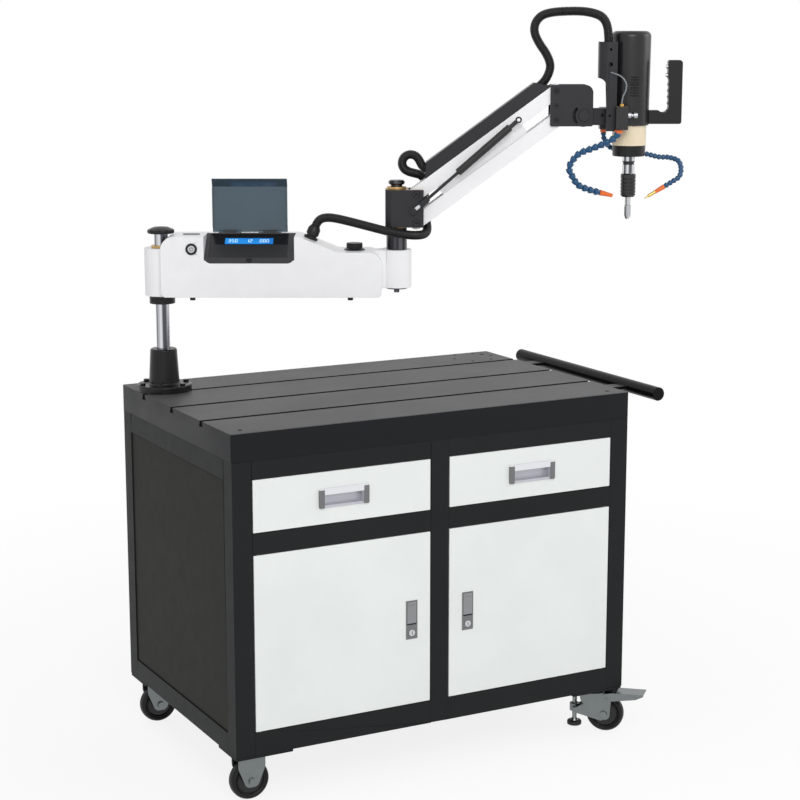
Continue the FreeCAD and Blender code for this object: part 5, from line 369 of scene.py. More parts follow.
def door_finish(side):
    """Powder coat with the latch's satin plate pressed into it and its lock; painted shade darkens its
    cup and its keyhole.
    """
    low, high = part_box("door_latch_" + side)
    middle, centre = (low[0] + high[0]) / 2, high[2] - LATCH_FROM_PADDLE

    def shader_of(place):
        x, y, z = place.parts()
        plate = (x.within(middle - LATCH_HALF, middle + LATCH_HALF)
                 * z.within(centre - LATCH_TALL, centre + LATCH_TALL))
        across, up = x - middle, z - centre + LOCK_BELOW
        lock = 1 - (across * across + up * up).rise(LOCK_RADIUS ** 2 * 0.94, LOCK_RADIUS ** 2)
        key = across.within(-KEY_HALF[0], KEY_HALF[0]) * up.within(-KEY_HALF[1], KEY_HALF[1])
        # Painted shade: dark in the keyhole and in the cup behind the plate's face.
        dark = key * lock | y.past(low[1] + CUP_FACE)
        metal = dark.between(lock.between(shade(118, 120, 122), shade(205, 206, 208)), shade(52, 52, 54))
        return coat(place, plate.between(place.clouds(0.18).between(*PRESSED_GREY), metal),
                    0.38 - plate * 0.06, plate * 0.6, 0.4, (0.0013, 0.00002))
    return finish("door coat and latch " + side, shader_of)


for side in ("left", "right"):
    dressed("drawer_" + side, front_paint, 0.0009)
    dressed("door_" + side, door_finish(side), 0.0009)


def plated(name, colour, roughness, marks=0.0012, depth=0.00001):
    """Bare or plated metal with fine marks of the given size and a little uneven wear."""
    low, high = tinted(colour, 0.96), tinted(colour, 1.03)

    def shader_of(place):
        lines, wear = place.grain(marks, 3.0), place.grain(0.03, 3.0)
        return coat(place, wear.rise(0.3, 0.7).between(low, high),
                    roughness + (wear - 0.5) * 0.1 + (lines - 0.5) * 0.08, 1.0,
                    relief=lines.bumped(depth))
    return finish(name, shader_of)


satin_plate = plated("satin plate", shade(190, 192, 194), 0.3, depth=0.000003)
PULL_CAP, PULL_LIT_RIM = 0.014, 0.004  # width of an end, and of the rim above the bar that is painted light on the ends as a highlight
PULL_BAR, BAR_DEPTH = 0.0165, 0.0045  # bar's lower edge from the top, and its depth


def pull_finish(side):
    """Bright drawn aluminium bar between two darker die cast ends, with painted light and shade: the cup
    under the bar darker as shade in its recess, and the ends' top rims light as a highlight.
    """
    low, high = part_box("drawer_pull_" + side)

    def shader_of(place):
        x, y, z = place.parts()
        cap = 1 - x.within(low[0] + PULL_CAP, high[0] - PULL_CAP)
        top = z.past(high[2] - PULL_LIT_RIM)
        bar = z.past(high[2] - PULL_BAR) * (1 - y.past(low[1] + BAR_DEPTH))
        drawn = place.grain(0.004, 3.0, (0.05, 1.0, 1.0))
        # The cup is painted darker than the bar as the shade in its recess.
        cup = drawn.between(shade(186, 187, 194), shade(200, 201, 208))
        sheet = bar.between(cup, shade(228, 229, 233))
        # Each end's top rim is painted light as a highlight.
        ends = top.between(shade(116, 116, 118), shade(226, 226, 228))
        return coat(place, cap.between(sheet, ends), drawn * 0.1 + 0.3, 0.5,
                    relief=drawn.bumped(0.000003))
    return finish("drawer pull " + side, shader_of)


for side in ("left", "right"):
    dressed("drawer_pull_" + side, pull_finish(side), 0.0)
    paddle = plated("paddle plate " + side, shade(146, 148, 150), 0.32)
    dressed("door_latch_" + side, paddle, 0.0003)

# ------------ casters
# Pressed zinc plated forks under welded corner plates; the two at the right end turn and carry a
# brake pedal and a levelling foot. Black rubber tyres are moulded on nylon cores.
zinc = plated("zinc plate", shade(124, 129, 129), 0.36, 0.004)
PAD_TOP = (0.0187, 0.0193)  # where a levelling foot's pad gives way to its stem, from the floor


def foot_shader(place):
    """Zinc plated stem on a black rubber pad."""
    stem = place.parts()[2].rise(*PAD_TOP)
    bright = place.grain(0.02, 4.0).between(shade(120, 124, 124), shade(150, 154, 154))
    return coat(place, stem.between(shade(24, 24, 25), bright), 0.65 - stem * 0.3, stem,
                relief=(0.001, 0.00002))


foot_finish = finish("plated stem on rubber", foot_shader)
dressed("caster_mounts", frame_paint, 0.0006)
dressed("fixed_forks", zinc, 0.0005)
for end in ("front", "rear"):
    dressed("swivel_fork_" + end, zinc, 0.0005)
    dressed("brake_pedal_" + end, zinc, 0.0004)
    dressed("levelling_foot_" + end, foot_finish, 0.0004)


def skin(name, rows):
    """Mesh of four-sided faces between the points of a grid whose rows each close on themselves.
    Points that meet become one, and faces turn outwards."""
    index = np.arange(rows.shape[0] * rows.shape[1]).reshape(rows.shape[:2])
    near, far = index[:-1], index[1:]
    faces = np.stack([near, np.roll(near, -1, 1), np.roll(far, -1, 1), far], -1)
    mesh = mesh_of(name, rows, faces.reshape(-1, 4))
    work = bmesh.new()
    work.from_mesh(mesh)
    bmesh.ops.remove_doubles(work, verts=work.verts, dist=WELD / 2)
    bmesh.ops.recalc_face_normals(work, faces=work.faces)
    work.to_mesh(mesh)
    work.free()
    return mesh


EASE_POINTS = 4  # points on each eased corner


def eased(profile, soft):
    """The profile's line with each inner corner B replaced by the quadratic curve
    (1 - t)^2 A + 2 t (1 - t) B + t^2 C, where A and C lie soft metres from it on the two sides."""
    p = np.asarray(profile, float)
    corner = p[1:-1]

    def toward(other):
        """Point soft metres from the corner, or less on a short side."""
        step = other - corner
        length = np.linalg.norm(step, axis=1, keepdims=True)
        return corner + step / length * np.minimum(soft, 0.45 * length)
    t = np.linspace(0, 1, EASE_POINTS)[None, :, None]
    start, end, middle = toward(p[:-2])[:, None], toward(p[2:])[:, None], corner[:, None]
    curves = (1 - t) ** 2 * start + 2 * t * (1 - t) * middle + t ** 2 * end
    return np.vstack([p[:1], curves.reshape(-1, 2), p[-1:]])


def turned(profile, foot, axis, sides=72, soft=0.0005, ripple=None):
    """Grid of a turned form: foot + height axis + radius (cos(angle) first + sin(angle) second),
    for each (radius, height) of the profile. ripple(angle, radius) is added to the radius."""
    line = eased(profile, soft)
    axis = np.array(axis, float) / np.linalg.norm(axis)
    first = np.cross(axis, (1.0, 0.0, 0.0) if abs(axis[0]) < 0.9 else (0.0, 1.0, 0.0))
    first /= np.linalg.norm(first)
    second = np.cross(axis, first)
    angle = np.linspace(0, 2 * np.pi, sides, endpoint=False)[None, :]
    radius, height = line[:, :1] + 0 * angle, line[:, 1:] + 0 * angle
    if ripple:
        radius = radius + ripple(angle, radius)
    return (np.array(foot) + axis * height[..., None]
            + first * (radius * np.cos(angle))[..., None] + second * (radius * np.sin(angle))[..., None])


def rubber_shader(place):
    """Black moulded rubber, dull, with a bloom of dust in its fine texture."""
    dust = place.grain(0.02, 5.0).rise(0.45, 0.75)
    return coat(place, dust.between(shade(17, 17, 18), shade(27, 27, 28)), dust * 0.15 + 0.5,
                shine=0.25, relief=(0.0008, 0.00004))


def mirrored(half):
    """Closed section from its lower half, each point (radius, place along the axle)."""
    return half + [(radius, -place) for radius, place in half[::-1]] + half[:1]


TYRE = mirrored([(0.0363, -0.012), (0.0395, -0.015), (0.0435, -0.016), (0.0478, -0.0105),
                 (0.049, -0.006)])
CORE = mirrored([(0.0052, -0.016), (0.015, -0.016), (0.016, -0.012), (0.032, -0.01),
                 (0.035, -0.0145), (0.0363, -0.0145)])
TYRE_SOFT = 0.0012  # the tyre's corners are rounder than the core's
SWIVEL_HEADING = {"front": -45.0, "rear": 38.0}  # degrees that each fork has turned
rubber = finish("black rubber", rubber_shader)
wheel_nylon = painted("black nylon", shade(20, 20, 22), 0.3, 0.0008, 0.00002, shine=0.4)
for end in ("front", "rear"):
    for side in ("left", "right"):
        wheel = "wheel_%s_%s" % (end, side)
        hub = np.mean(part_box(wheel), axis=0)
        heading = math.radians(SWIVEL_HEADING[end]) if side == "right" else 0.0
        axle = (-math.sin(heading), math.cos(heading), 0.0)
        body = frame["nodes"][wheel]["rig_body"]
        tread = skin("tyre", turned(TYRE, hub, axle, soft=TYRE_SOFT))
        tyre = linked(wheel + "_tyre", tread, body, rubber)
        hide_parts(wheel)
        core = linked(wheel + "_core", skin("core", turned(CORE, hub, axle)), body, wheel_nylon)

# ------------ push handle
# A black coated steel tube across the bench's right end, closed by plastic caps. Two folded
# brackets are welded to it and bolted to the table's skirt.
gloss_black = painted("gloss black coat", shade(10, 10, 12), 0.3, 0.002, 0.00002, shine=0.12)
dressed("push_handle", gloss_black, 0.0008)

# ------------ column
# A hard chromed bar in a black cast foot that six cap screws hold to the table, with a scalloped
# knob on top, and a split black collar and a bronze ring that carry the arm.
ARM_ANGLE = math.radians(-28.17)
COLUMN_AXIS = (-0.5435, 0.242)
ALONG = np.array((math.cos(ARM_ANGLE), math.sin(ARM_ANGLE), 0.0))
BEHIND = np.array((-math.sin(ARM_ANGLE), math.cos(ARM_ANGLE), 0.0))


def on_arm(points):
    """Points (u, v, w) of the arm, in millimetres, in the model's metres."""
    points = np.asarray(points, float) / 1000.0
    level = points[..., :1] * ALONG + points[..., 1:2] * BEHIND
    return np.array((*COLUMN_AXIS, TABLE_HEIGHT)) + level + points[..., 2:] * np.array((0, 0, 1))


black_cast = painted("black stove enamel", shade(16, 16, 18), 0.3, 0.0018, 0.00003, shine=0.3)
black_plastic = painted("black moulding", shade(22, 22, 24), 0.34, 0.0007, 0.00001, shine=0.3)


def reflection_streaked(name, dark, light, size, roughness=0.14):
    """Polished bar with painted reflections: dark and light streaks that run up it, clouds that are the
    same at every height.
    """
    def shader_of(place):
        reflection_streak = place.grain(size, 1.0, (1.0, 1.0, 0.0)).rise(0.40, 0.58)
        return coat(place, reflection_streak.between(dark, light), place.grain(0.01, 3.0) * 0.06 + roughness, 1.0)
    return finish(name, shader_of)


# The chrome's dark and light colours are painted reflections, in streaks up the bar.
chrome = reflection_streaked("hard chrome", shade(84, 86, 92), shade(216, 218, 223), 0.013)
dressed("column_base", black_cast, 0.0010)
dressed("column", chrome, 0.0008)
dressed("column_knob", black_plastic, 0.0010)


def arm_parts(place):
    """How far a point lies along the arm, behind its middle and above the table top, in metres."""
    x, y, z = place.parts()
    x, y = x - COLUMN_AXIS[0], y - COLUMN_AXIS[1]
    u, v = (x * float(way[0]) + y * float(way[1]) for way in (ALONG, BEHIND))
    return u, v, z - TABLE_HEIGHT


def two_finishes(name, first, second, where):
    """Enamel with another finish on the parts where(u, v, w) picks out in the arm's coordinates;
    a finish is a colour, a roughness and how metallic it is."""
    def shader_of(place):
        mask, cloud = where(*arm_parts(place)), place.clouds(0.05)
        tint = [cloud.between(tinted(c[0], 0.985), tinted(c[0], 1.015)) for c in (first, second)]
        rough = mask * (second[1] - first[1]) + first[1] + (place.grain(0.03, 4.0) - 0.5) * 0.06
        return coat(place, mask.between(*tint), rough, mask * (second[2] - first[2]) + first[2], 0.3,
                    (0.0014, 0.00001))
    return finish(name, shader_of)


BRONZE = (shade(196, 162, 112), 0.3, 1.0)
BLACK_ENAMEL = (shade(20, 20, 22), 0.3, 0.0)
HUB_TOP = 0.366  # the ring lies on the arm's hub, above the table top by this
ring_finish = two_finishes("black collar and bronze ring", BLACK_ENAMEL, BRONZE,
                           lambda u, v, w: w.past(HUB_TOP))
dressed("column_collars", ring_finish, 0.0006)

# ------------ rear arm
# A folded white steel cover over the control box, with its hub welded in at the column. A cast
# barrel at its far end carries the elbow. Plug, hinges, bumpers and button ring are black.
WHITE = shade(247, 247, 249)
WHITE_COAT = (WHITE, 0.32, 0.0)
white_coat = painted("white powder coat", WHITE, 0.32, 0.0014, 0.00001, 0.008, 0.4)
HOUSING_TOP, FEET_TOP, HOUSING_FACE = 0.3995, 0.2450, -0.0652  # (w, w, v) of its outer faces


def fittings(u, v, w):
    """1 on the plug, hinges, feet and button ring, which stand clear of the housing's sheet."""
    return w.past(HOUSING_TOP) | (1 - w.past(FEET_TOP)) | (1 - v.past(HOUSING_FACE))


housing_finish = two_finishes("white coat and black fittings", WHITE_COAT, BLACK_ENAMEL, fittings)
dressed("arm_housing", housing_finish, 0.0008)
dressed("elbow_barrel", white_coat, 0.0012)

# ------------ control screen
# A moulded console sunk in the housing's slope holds a narrow lit display that shows figures,
# under a hinged smoked cover that is folded back.
BAY_V, BAY_W = -0.065, 0.345  # the slope's front edge
BAY_SLOPE = math.atan2(0.054, 0.100)  # its rise and its run
DISPLAY = (0.0677, 0.0917)  # start and end up the slope
PANEL = (0.124, 0.321, 0.005, 0.1087)  # sunk panel along the arm, and up the slope
STRIP_MARGIN = 0.003  # how far below the display its strip starts
NOTCH, NOTCH_RADIUS = (0.2265, 0.342), 0.008  # the finger notch in the front lip as (u, w), painted dark as the shade in it
NOTCH_BACK = -0.0625  # and how deep it goes, as v


def console_shader(place):
    """Dark grey moulding with a darker panel, a glossy near-black strip round the display, and painted
    shade in the finger notch of its lip.
    """
    u, v, w = arm_parts(place)
    up = (v - BAY_V) * math.cos(BAY_SLOPE) + (w - BAY_W) * math.sin(BAY_SLOPE)
    panel = u.within(*PANEL[:2]) * up.within(*PANEL[2:])
    strip = panel * up.past(DISPLAY[0] - STRIP_MARGIN)
    across, rise = u - NOTCH[0], w - NOTCH[1]
    disc = 1 - (across * across + rise * rise).rise(NOTCH_RADIUS ** 2 * 0.9, NOTCH_RADIUS ** 2)
    # The finger notch is painted dark as the shade in it.
    dark = strip | disc * (1 - v.past(NOTCH_BACK))
    colour = dark.between(panel.between(shade(54, 54, 57), shade(36, 36, 38)), shade(14, 14, 17))
    return coat(place, colour, 0.45 - strip * 0.25, shine=0.3, relief=(0.0008, 0.00001))


def display_shader(place):
    """Lit blue liquid crystal display, a little uneven from its back light."""
    glow = place.clouds(0.05, 2.0).between(shade(20, 120, 205), shade(38, 150, 235))
    return coat(place, shade(10, 60, 120), 0.12, **{"Emission Color": glow, "Emission Strength": 0.8})


def figure_shader(place):
    """Pale lit figures."""
    glow = place.grain(0.01, 2.0).between(shade(196, 228, 246), shade(214, 238, 250))
    return coat(place, shade(150, 200, 230), 0.3, **{"Emission Color": glow, "Emission Strength": 0.9})


def smoked_shader(place):
    """Smoked clear acrylic: a cool grey tint let through by Alpha, with painted shade making its bent
    lip darker and less clear.
    """
    # Painted shade: the bent lip darker and less see-through.
    lip = arm_parts(place)[2].past(LIP_BEND)
    sheet = place.grain(0.05, 3.0).between(shade(64, 84, 97), shade(71, 91, 104))
    return coat(place, lip.between(sheet, shade(56, 72, 83)), 0.08, Alpha=lip * 0.06 + 0.88)


LIP_BEND = 0.5155  # the lip's bend above the table top
dressed("screen_bezel", finish("console moulding", console_shader), 0.0005)
dressed("screen_display", finish("blue display", display_shader), 0.0)
dressed("screen_cover", finish("smoked acrylic", smoked_shader), 0.0003)

SEGMENTS = {  # a figure's seven strokes: centre across and up, and 1 where the stroke lies flat
    "a": (0.5, 1.0, 1), "b": (1.0, 0.75, 0), "c": (1.0, 0.25, 0), "d": (0.5, 0.0, 1),
    "e": (0.0, 0.25, 0), "f": (0.0, 0.75, 0), "g": (0.5, 0.5, 1)}
STROKES = {"0": "abcdef", "1": "bc", "2": "abged", "3": "abgcd", "5": "afgcd", "8": "abcdefg"}
FIGURE_WIDTH, FIGURE_HEIGHT, FIGURE_PITCH, STROKE = 0.0050, 0.0120, 0.0085, 0.0013
FIGURE_LIFT = -0.0009  # from the slope's face; the display stands 1 mm below it
READINGS = (("350", 0.170), ("12", 0.216), ("080", 0.250))  # figures, and where they start
figures = [(key, start + k * FIGURE_PITCH) for text, start in READINGS for k, key in enumerate(text)]
boxes = np.array([
    (left + across * FIGURE_WIDTH, up * FIGURE_HEIGHT, 0.5 * (FIGURE_WIDTH if flat else STROKE),
     0.5 * (STROKE if flat else FIGURE_HEIGHT / 2))
    for key, left in figures for across, up, flat in map(SEGMENTS.get, STROKES[key])])
signs = np.array([(-1, -1), (1, -1), (1, 1), (-1, 1)])
along = boxes[:, None, 0] + signs[None, :, 0] * boxes[:, None, 2]
up = (sum(DISPLAY) - FIGURE_HEIGHT) / 2 + boxes[:, None, 1] + signs[None, :, 1] * boxes[:, None, 3]
spots = 1000 * np.stack([
    along, BAY_V + up * math.cos(BAY_SLOPE) - FIGURE_LIFT * math.sin(BAY_SLOPE),
    BAY_W + up * math.sin(BAY_SLOPE) + FIGURE_LIFT * math.cos(BAY_SLOPE)], -1).reshape(-1, 3)
mesh = mesh_of("display figures", on_arm(spots), np.arange(len(spots)).reshape(-1, 4))
linked("display_figures", mesh, "rear_arm", finish("lit figures", figure_shader))

# ------------ controls
# A plated push button in its ring, a fluted moulded speed knob and the moulded gland that the
# conduit leaves by. All three are fixed in the housing's sheet.
POWER_CENTRE = (0.083, 0.369)
SIGN_RING, SIGN_BAR = (0.0038, 0.0048), (0.0012, 0.0052)  # ring's radii; bar's foot and head
SIGN_GAP, SIGN_STROKE = 0.0018, 0.0006  # half widths of its gap and of the bar


def button_shader(place):
    """Satin metal disc with the usual on/off sign: an open ring and a bar."""
    u, v, w = arm_parts(place)
    across, up = u - POWER_CENTRE[0], w - POWER_CENTRE[1]
    gap = across.within(-SIGN_GAP, SIGN_GAP) * up.past(0.0)
    ring = across.away(up).within(*SIGN_RING) * (1 - gap)
    sign = ring | across.within(-SIGN_STROKE, SIGN_STROKE) * up.within(*SIGN_BAR)
    lustre = place.grain(0.004, 3.0)
    metal = lustre.between(shade(176, 178, 182), shade(206, 208, 212))
    return coat(place, sign.between(metal, shade(52, 54, 60)), lustre * 0.1 + 0.25, 0.7)


dressed("power_button", finish("satin disc with its sign", button_shader), 0.0006)
for node in ("control_knob", "cable_gland"):
    dressed(node, black_plastic, 0.0005)

# ------------ elbow
# A ground steel shaft in bronze bushes turns the black steel block that carries the two links.
# Shade in the sockets of the block's screws, and a shadow round their heads, are painted in its finish.
# The shaft's dark and light colours are painted reflections, in streaks up it.
shaft_steel = reflection_streaked("blackened steel", shade(46, 46, 49), shade(92, 92, 96), 0.02, 0.2)
dressed("elbow_shaft", shaft_steel, 0.0006)
black_oxide = painted("black oxide", shade(43, 43, 47), 0.36, 0.0016, 0.00001, shine=0.25)
BUSHES = (0.420, 0.514)  # w that the block is black between, and bronze beyond
BLOCK_SCREWS = ((0.6445, 0.5026, 0.009), (0.6445, 0.4311, 0.009))  # (u, w, head's radius)
SOCKET, HEAD_SHADOW = 0.0031, 0.0007  # a socket's radius; how far the painted shadow ring reaches out from a head's edge


def painted_screw_shade(u, w, screws):
    """1 where shade is painted: in the socket of each screw, and in a shadow ring round its head."""
    marks = 0.0
    for screw_u, screw_w, radius in screws:
        far = (u - screw_u).away(w - screw_w)
        marks = marks + (1 - far.past(SOCKET)) + far.within(radius - HEAD_SHADOW / 2, radius + HEAD_SHADOW)
    return marks.maths("MINIMUM", marks, 1.0)


def screwed_shader(screws, bushes=None):
    """Black oxide with painted shade in its screws' sockets and a painted shadow round their heads;
    bronze above and below two levels.
    """
    def shader_of(place):
        u, v, w = arm_parts(place)
        marks = painted_screw_shade(u, w, screws)
        oxide = place.clouds(0.05).between(shade(42, 42, 46), shade(44, 44, 48))
        bronze = (1 - w.within(*bushes)) if bushes else marks * 0.0
        colour = bronze.between(marks.between(oxide, shade(12, 12, 14)), BRONZE[0])
        return coat(place, colour, place.grain(0.03, 4.0) * 0.06 + 0.33, bronze, 0.25,
                    (0.0014, 0.00001))
    return shader_of


block_finish = finish("black oxide block and bronze bushes", screwed_shader(BLOCK_SCREWS, BUSHES))
dressed("elbow_block", block_finish, 0.0010)

# ------------ parallel links and gas spring
# Two folded white channels between the elbow and the head keep the head level; a black gas
# spring holds them up, and a folded black cover over the upper link hides its cables.
for node in ("upper_link", "lower_link"):
    dressed(node, white_coat, 0.0006)
dressed("cable_cover", black_oxide, 0.0006)
spring_enamel = painted("gas spring enamel", shade(18, 18, 19), 0.25, 0.002, 0.00001, shine=0.5)
dressed("gas_cylinder", spring_enamel, 0.0005)
LOWER_STUD = (0.6374, 0.4618)  # (u, w) of the stud in the rod's lower eye
FERRULE = (0.0085, 0.0215)  # where the ferrule starts and ends, from the stud


def rod_shader(place):
    """Black nitrided rod and stop, with a bright plated ferrule near its lower eye."""
    u, v, w = arm_parts(place)
    ferrule = (u - LOWER_STUD[0]).away(w - LOWER_STUD[1]).within(*FERRULE)
    return coat(place, ferrule.between(shade(40, 40, 43), shade(205, 207, 211)),
                place.grain(0.01, 3.0) * 0.08 + 0.16, ferrule * 0.6 + 0.4)


dressed("gas_rod", finish("nitrided rod and plated ferrule", rod_shader), 0.0004)

# ------------ head
# Black plates take the links' far ends and the tilting holder of the motor; its cables come
# down a folded channel. The motor has a beige gear nose, and the spindle takes a sleeve chuck.
PIVOT_U, PIVOT_W = 0.99158, 0.75728  # the upper link's pivot in the head's plates
SCREW_PITCH, SCREW_HEAD = -0.03575, 0.0066  # of the three screws in line down from the pivot
bracket_screws = [(PIVOT_U, PIVOT_W + k * SCREW_PITCH, SCREW_HEAD) for k in range(3)]
# The head's plates get the same painted shade at their three screws.
oxide_plates = finish("black oxide plates", screwed_shader(bracket_screws))
dressed("head_bracket", oxide_plates, 0.0008)
dressed("head_carrier", black_oxide, 0.0006)
MOTOR_AXIS, MOTOR_SKIN = 0.1854, 0.0472  # along the arm from the pivot; radius at the slots
SLOTS_TOP, SLOT_PITCH, SLOT_COUNT = 0.0357, 0.0064, 8  # top of the first, above the pivot


def motor_shader(place):
    """Satin black moulding, with painted shade near black inside its cooling slots."""
    u, v, w = arm_parts(place)
    across, down = u - PIVOT_U - MOTOR_AXIS, (PIVOT_W + SLOTS_TOP) - w
    inside = 1 - (across * across + v * v).rise(MOTOR_SKIN ** 2 * 0.99, MOTOR_SKIN ** 2)
    # Painted shade: near black inside the cooling slots.
    dark = inside * (down.within(-EDGE, SLOT_PITCH * SLOT_COUNT) * (1 - v.past(0.0)))
    mould = place.clouds(0.05).between(shade(27, 27, 29), shade(31, 31, 33))
    return coat(place, dark.between(mould, shade(2, 2, 2)), place.grain(0.03, 4.0) * 0.08 + 0.26,
                shine=0.4, relief=(0.0009, 0.000008))


dressed("motor", finish("motor moulding", motor_shader), 0.0008)
NOSE_BEIGE = (shade(234, 219, 190), 0.35, 0.0)
CAP_UNDER, GROOVE_UNDER = 0.1343, (0.1815, 0.1735)  # cap's edge and groove's ends, under the pivot
nose_finish = two_finishes("beige enamel and black cap", BLACK_ENAMEL, NOSE_BEIGE,
                           lambda u, v, w: w.past(PIVOT_W - CAP_UNDER))
dressed("motor_nose", nose_finish, 0.0010)


def spindle_shader(place):
    """Ground steel with painted reflections in streaks up it, and near black over its groove."""
    groove = arm_parts(place)[2].within(*(PIVOT_W - under for under in GROOVE_UNDER))
    reflection_streak = place.grain(0.012, 1.0, (1.0, 1.0, 0.0)).rise(0.38, 0.6)
    steel = reflection_streak.between(shade(96, 97, 100), shade(226, 227, 230))
    return coat(place, groove.between(steel, shade(22, 22, 24)),
                place.grain(0.01, 2.0) * 0.06 + 0.16, 1 - groove)


dressed("spindle", finish("ground steel and black groove", spindle_shader), 0.0004)
grip = painted("blackened grip", shade(18, 18, 20), 0.22, 0.001, 0.000005, shine=0.6)
dressed("chuck_sleeve", grip, 0.0003)
# The tap's dark and light colours are painted reflections, in streaks up it.
tap_steel = reflection_streaked("tap steel", shade(110, 111, 114), shade(196, 197, 200), 0.006, 0.22)
dressed("tap", tap_steel, 0.0)
dressed("head_handle", black_plastic, 0.0015)
for which in ("upper", "lower"):
    dressed("grip_button_" + which, satin_plate, 0.0006)

# ------------ coolant valves and hoses
# Black valve blocks with a plated outlet and a brass fitting feed two chains of blue ball-and-cup
# links. Each chain hangs from an orange nut and ends in an orange nozzle; one has a brass jet.
VALVE_TOP, VALVE_RIGHT = PIVOT_W - 0.0353, PIVOT_U + 0.1730  # of the black blocks


def valve_shader(place):
    """Black anodised block, brass where the top fitting stands and nickel on the side fitting."""
    u, v, w = arm_parts(place)
    top, side = w.past(VALVE_TOP), u.past(VALVE_RIGHT)
    black, brass, nickel = shade(22, 22, 24), shade(200, 162, 88), shade(178, 180, 184)
    return coat(place, side.between(top.between(black, brass), nickel),
                place.grain(0.01, 3.0) * 0.1 + 0.25, top | side, relief=(0.001, 0.00001))


dressed("coolant_valves", finish("valve metals", valve_shader), 0.0005)


def on_head(points):
    """Points (u, v, w) from the head's pivot, in millimetres, in the model's metres."""
    return on_arm(np.asarray(points, float) + 1000 * np.array((PIVOT_U, 0.0, PIVOT_W)))


SPAN_STEPS, SAME_PLACE = 24, 1e-7  # points on a line's span; those nearer than this are one


def through(points):
    """Smooth line through the points: of each four a, b, c, d, the part from b to c is half of
    2b + (c - a) t + (2a - 5b + 4c - d) t^2 + (3b - a - 3c + d) t^3 (Catmull-Rom)."""
    p = np.asarray(points, float)
    p = np.vstack([2 * p[0] - p[1], p, 2 * p[-1] - p[-2]])
    a, b, c, d = (p[k:len(p) - 3 + k, None] for k in range(4))
    t = np.linspace(0, 1, SPAN_STEPS, endpoint=False)[None, :, None]
    spans = 0.5 * (2 * b + (c - a) * t + (2 * a - 5 * b + 4 * c - d) * t ** 2
                   + (3 * b - a - 3 * c + d) * t ** 3)
    return np.vstack([spans.reshape(-1, 3), p[-2:-1]])


def measured(line):
    """Length of a line of points."""
    return float(np.linalg.norm(np.diff(line, axis=0), axis=1).sum())


def carried(line, stations, radii, sides):
    """Grid of rings centre + radius (cos(angle) side + sin(angle) lift) along a line. Stations go
    from 0 at its start to the last at its end; side turns as little as it can from ring to ring,
    and both ends are closed at their middle."""
    stations = np.concatenate([[0], stations, stations[-1:]])
    radii = np.concatenate([[0], radii, [0]])[:, None, None]
    steps = np.linalg.norm(np.diff(line, axis=0), axis=1)
    line = line[np.concatenate([[True], steps > SAME_PLACE])]
    run = np.concatenate([[0.0], np.cumsum(np.linalg.norm(np.diff(line, axis=0), axis=1))])
    share = stations / stations[-1] * run[-1]
    centre = np.stack([np.interp(share, run, line[:, k]) for k in range(3)], 1)
    slope = np.gradient(line, run, axis=0)
    tangent = np.stack([np.interp(share, run, slope[:, k]) for k in range(3)], 1)
    tangent /= np.linalg.norm(tangent, axis=1, keepdims=True)
    side = np.empty_like(tangent)
    last = np.eye(3)[np.abs(tangent[0]).argmin()]
    for k, forward in enumerate(tangent):
        last = last - forward * (last @ forward)
        last /= np.linalg.norm(last)
        side[k] = last
    lift = np.cross(tangent, side)
    angle = np.linspace(0, 2 * np.pi, sides, endpoint=False)[None, :, None]
    return centre[:, None] + radii * (np.cos(angle) * side[:, None] + np.sin(angle) * lift[:, None])


# One cup: shares of the pitch, and of the step from the waist's radius to the bell's.
CUP = np.array([(0.0, 0.0), (0.02, 0.86), (0.10, 1.0), (0.30, 0.96), (0.55, 0.66), (0.80, 0.22),
                (0.98, 0.0)])
CHAIN_SIDES = 24


def cups(line, pitch, bell, waist):
    """Rings of a chain of cups along a line: over each pitch the radius follows CUP, out to the
    cup's mouth, over its lip and down to the waist in a shallow curve."""
    length = measured(line)
    count = round(length / pitch)
    stations = ((np.arange(count)[:, None] + CUP[:, 0]) * length / count).ravel()
    radii = np.tile(waist + (bell - waist) * CUP[:, 1], count)
    return carried(line, np.append(stations, length), np.append(radii, waist), CHAIN_SIDES)


ROUND_WITHIN = 0.006  # a nut's faces stay round inside this radius


def six_sided(angle, radius):
    """How far a hexagon's flat lies inside the circle through its corners, in each sixth of a
    turn: radius (cos 30 / cos(angle - 30) - 1), on rings wider than ROUND_WITHIN."""
    flat = np.cos(np.pi / 6) / np.cos((angle % (np.pi / 3)) - np.pi / 6)
    return np.where(radius > ROUND_WITHIN, radius * (flat - 1.0), 0.0)


def nut_profile(bell):
    """Half section (radius, depth) of a nut: chamfered top, wall outside the bell, flat foot."""
    wall, depth = bell + 0.001, 0.0090
    return [(0.0, 0.0), (bell - 0.0005, 0.0), (wall, 0.0012), (wall, depth - 0.0005), (0.0, depth)]


PLUG, MOUTH, BORE_DEPTH = 0.0014, (0.0004, 0.001), 0.004  # MOUTH: its chamfer in and back
BORE_SHARE, NOZZLE_SIDES, NOZZLE_SOFT = 0.55, 48, 0.0003
AIM_POINTS = 8  # a nozzle points as this many last points do


def nozzle_profile(length, first, last):
    """Half section of a nozzle's piece: a plug sunk in what is before it, a wall that goes from
    the first radius to the last, a chamfered mouth and a blind bore."""
    bore, floor_at = last * BORE_SHARE, length - BORE_DEPTH
    return [(0.0, -PLUG), (first, -PLUG), (first, 0.0), (last, length - MOUTH[1]),
            (last - MOUTH[0], length), (bore, length), (bore, floor_at), (0.0, floor_at)]


blue_acetal = painted("blue acetal", shade(12, 74, 116), 0.28, 0.001, 0.000005, shine=0.5)
orange_acetal = painted("orange acetal", shade(232, 108, 30), 0.3, 0.001, 0.000005, shine=0.5)
brass = plated("brass", shade(206, 170, 96), 0.25)
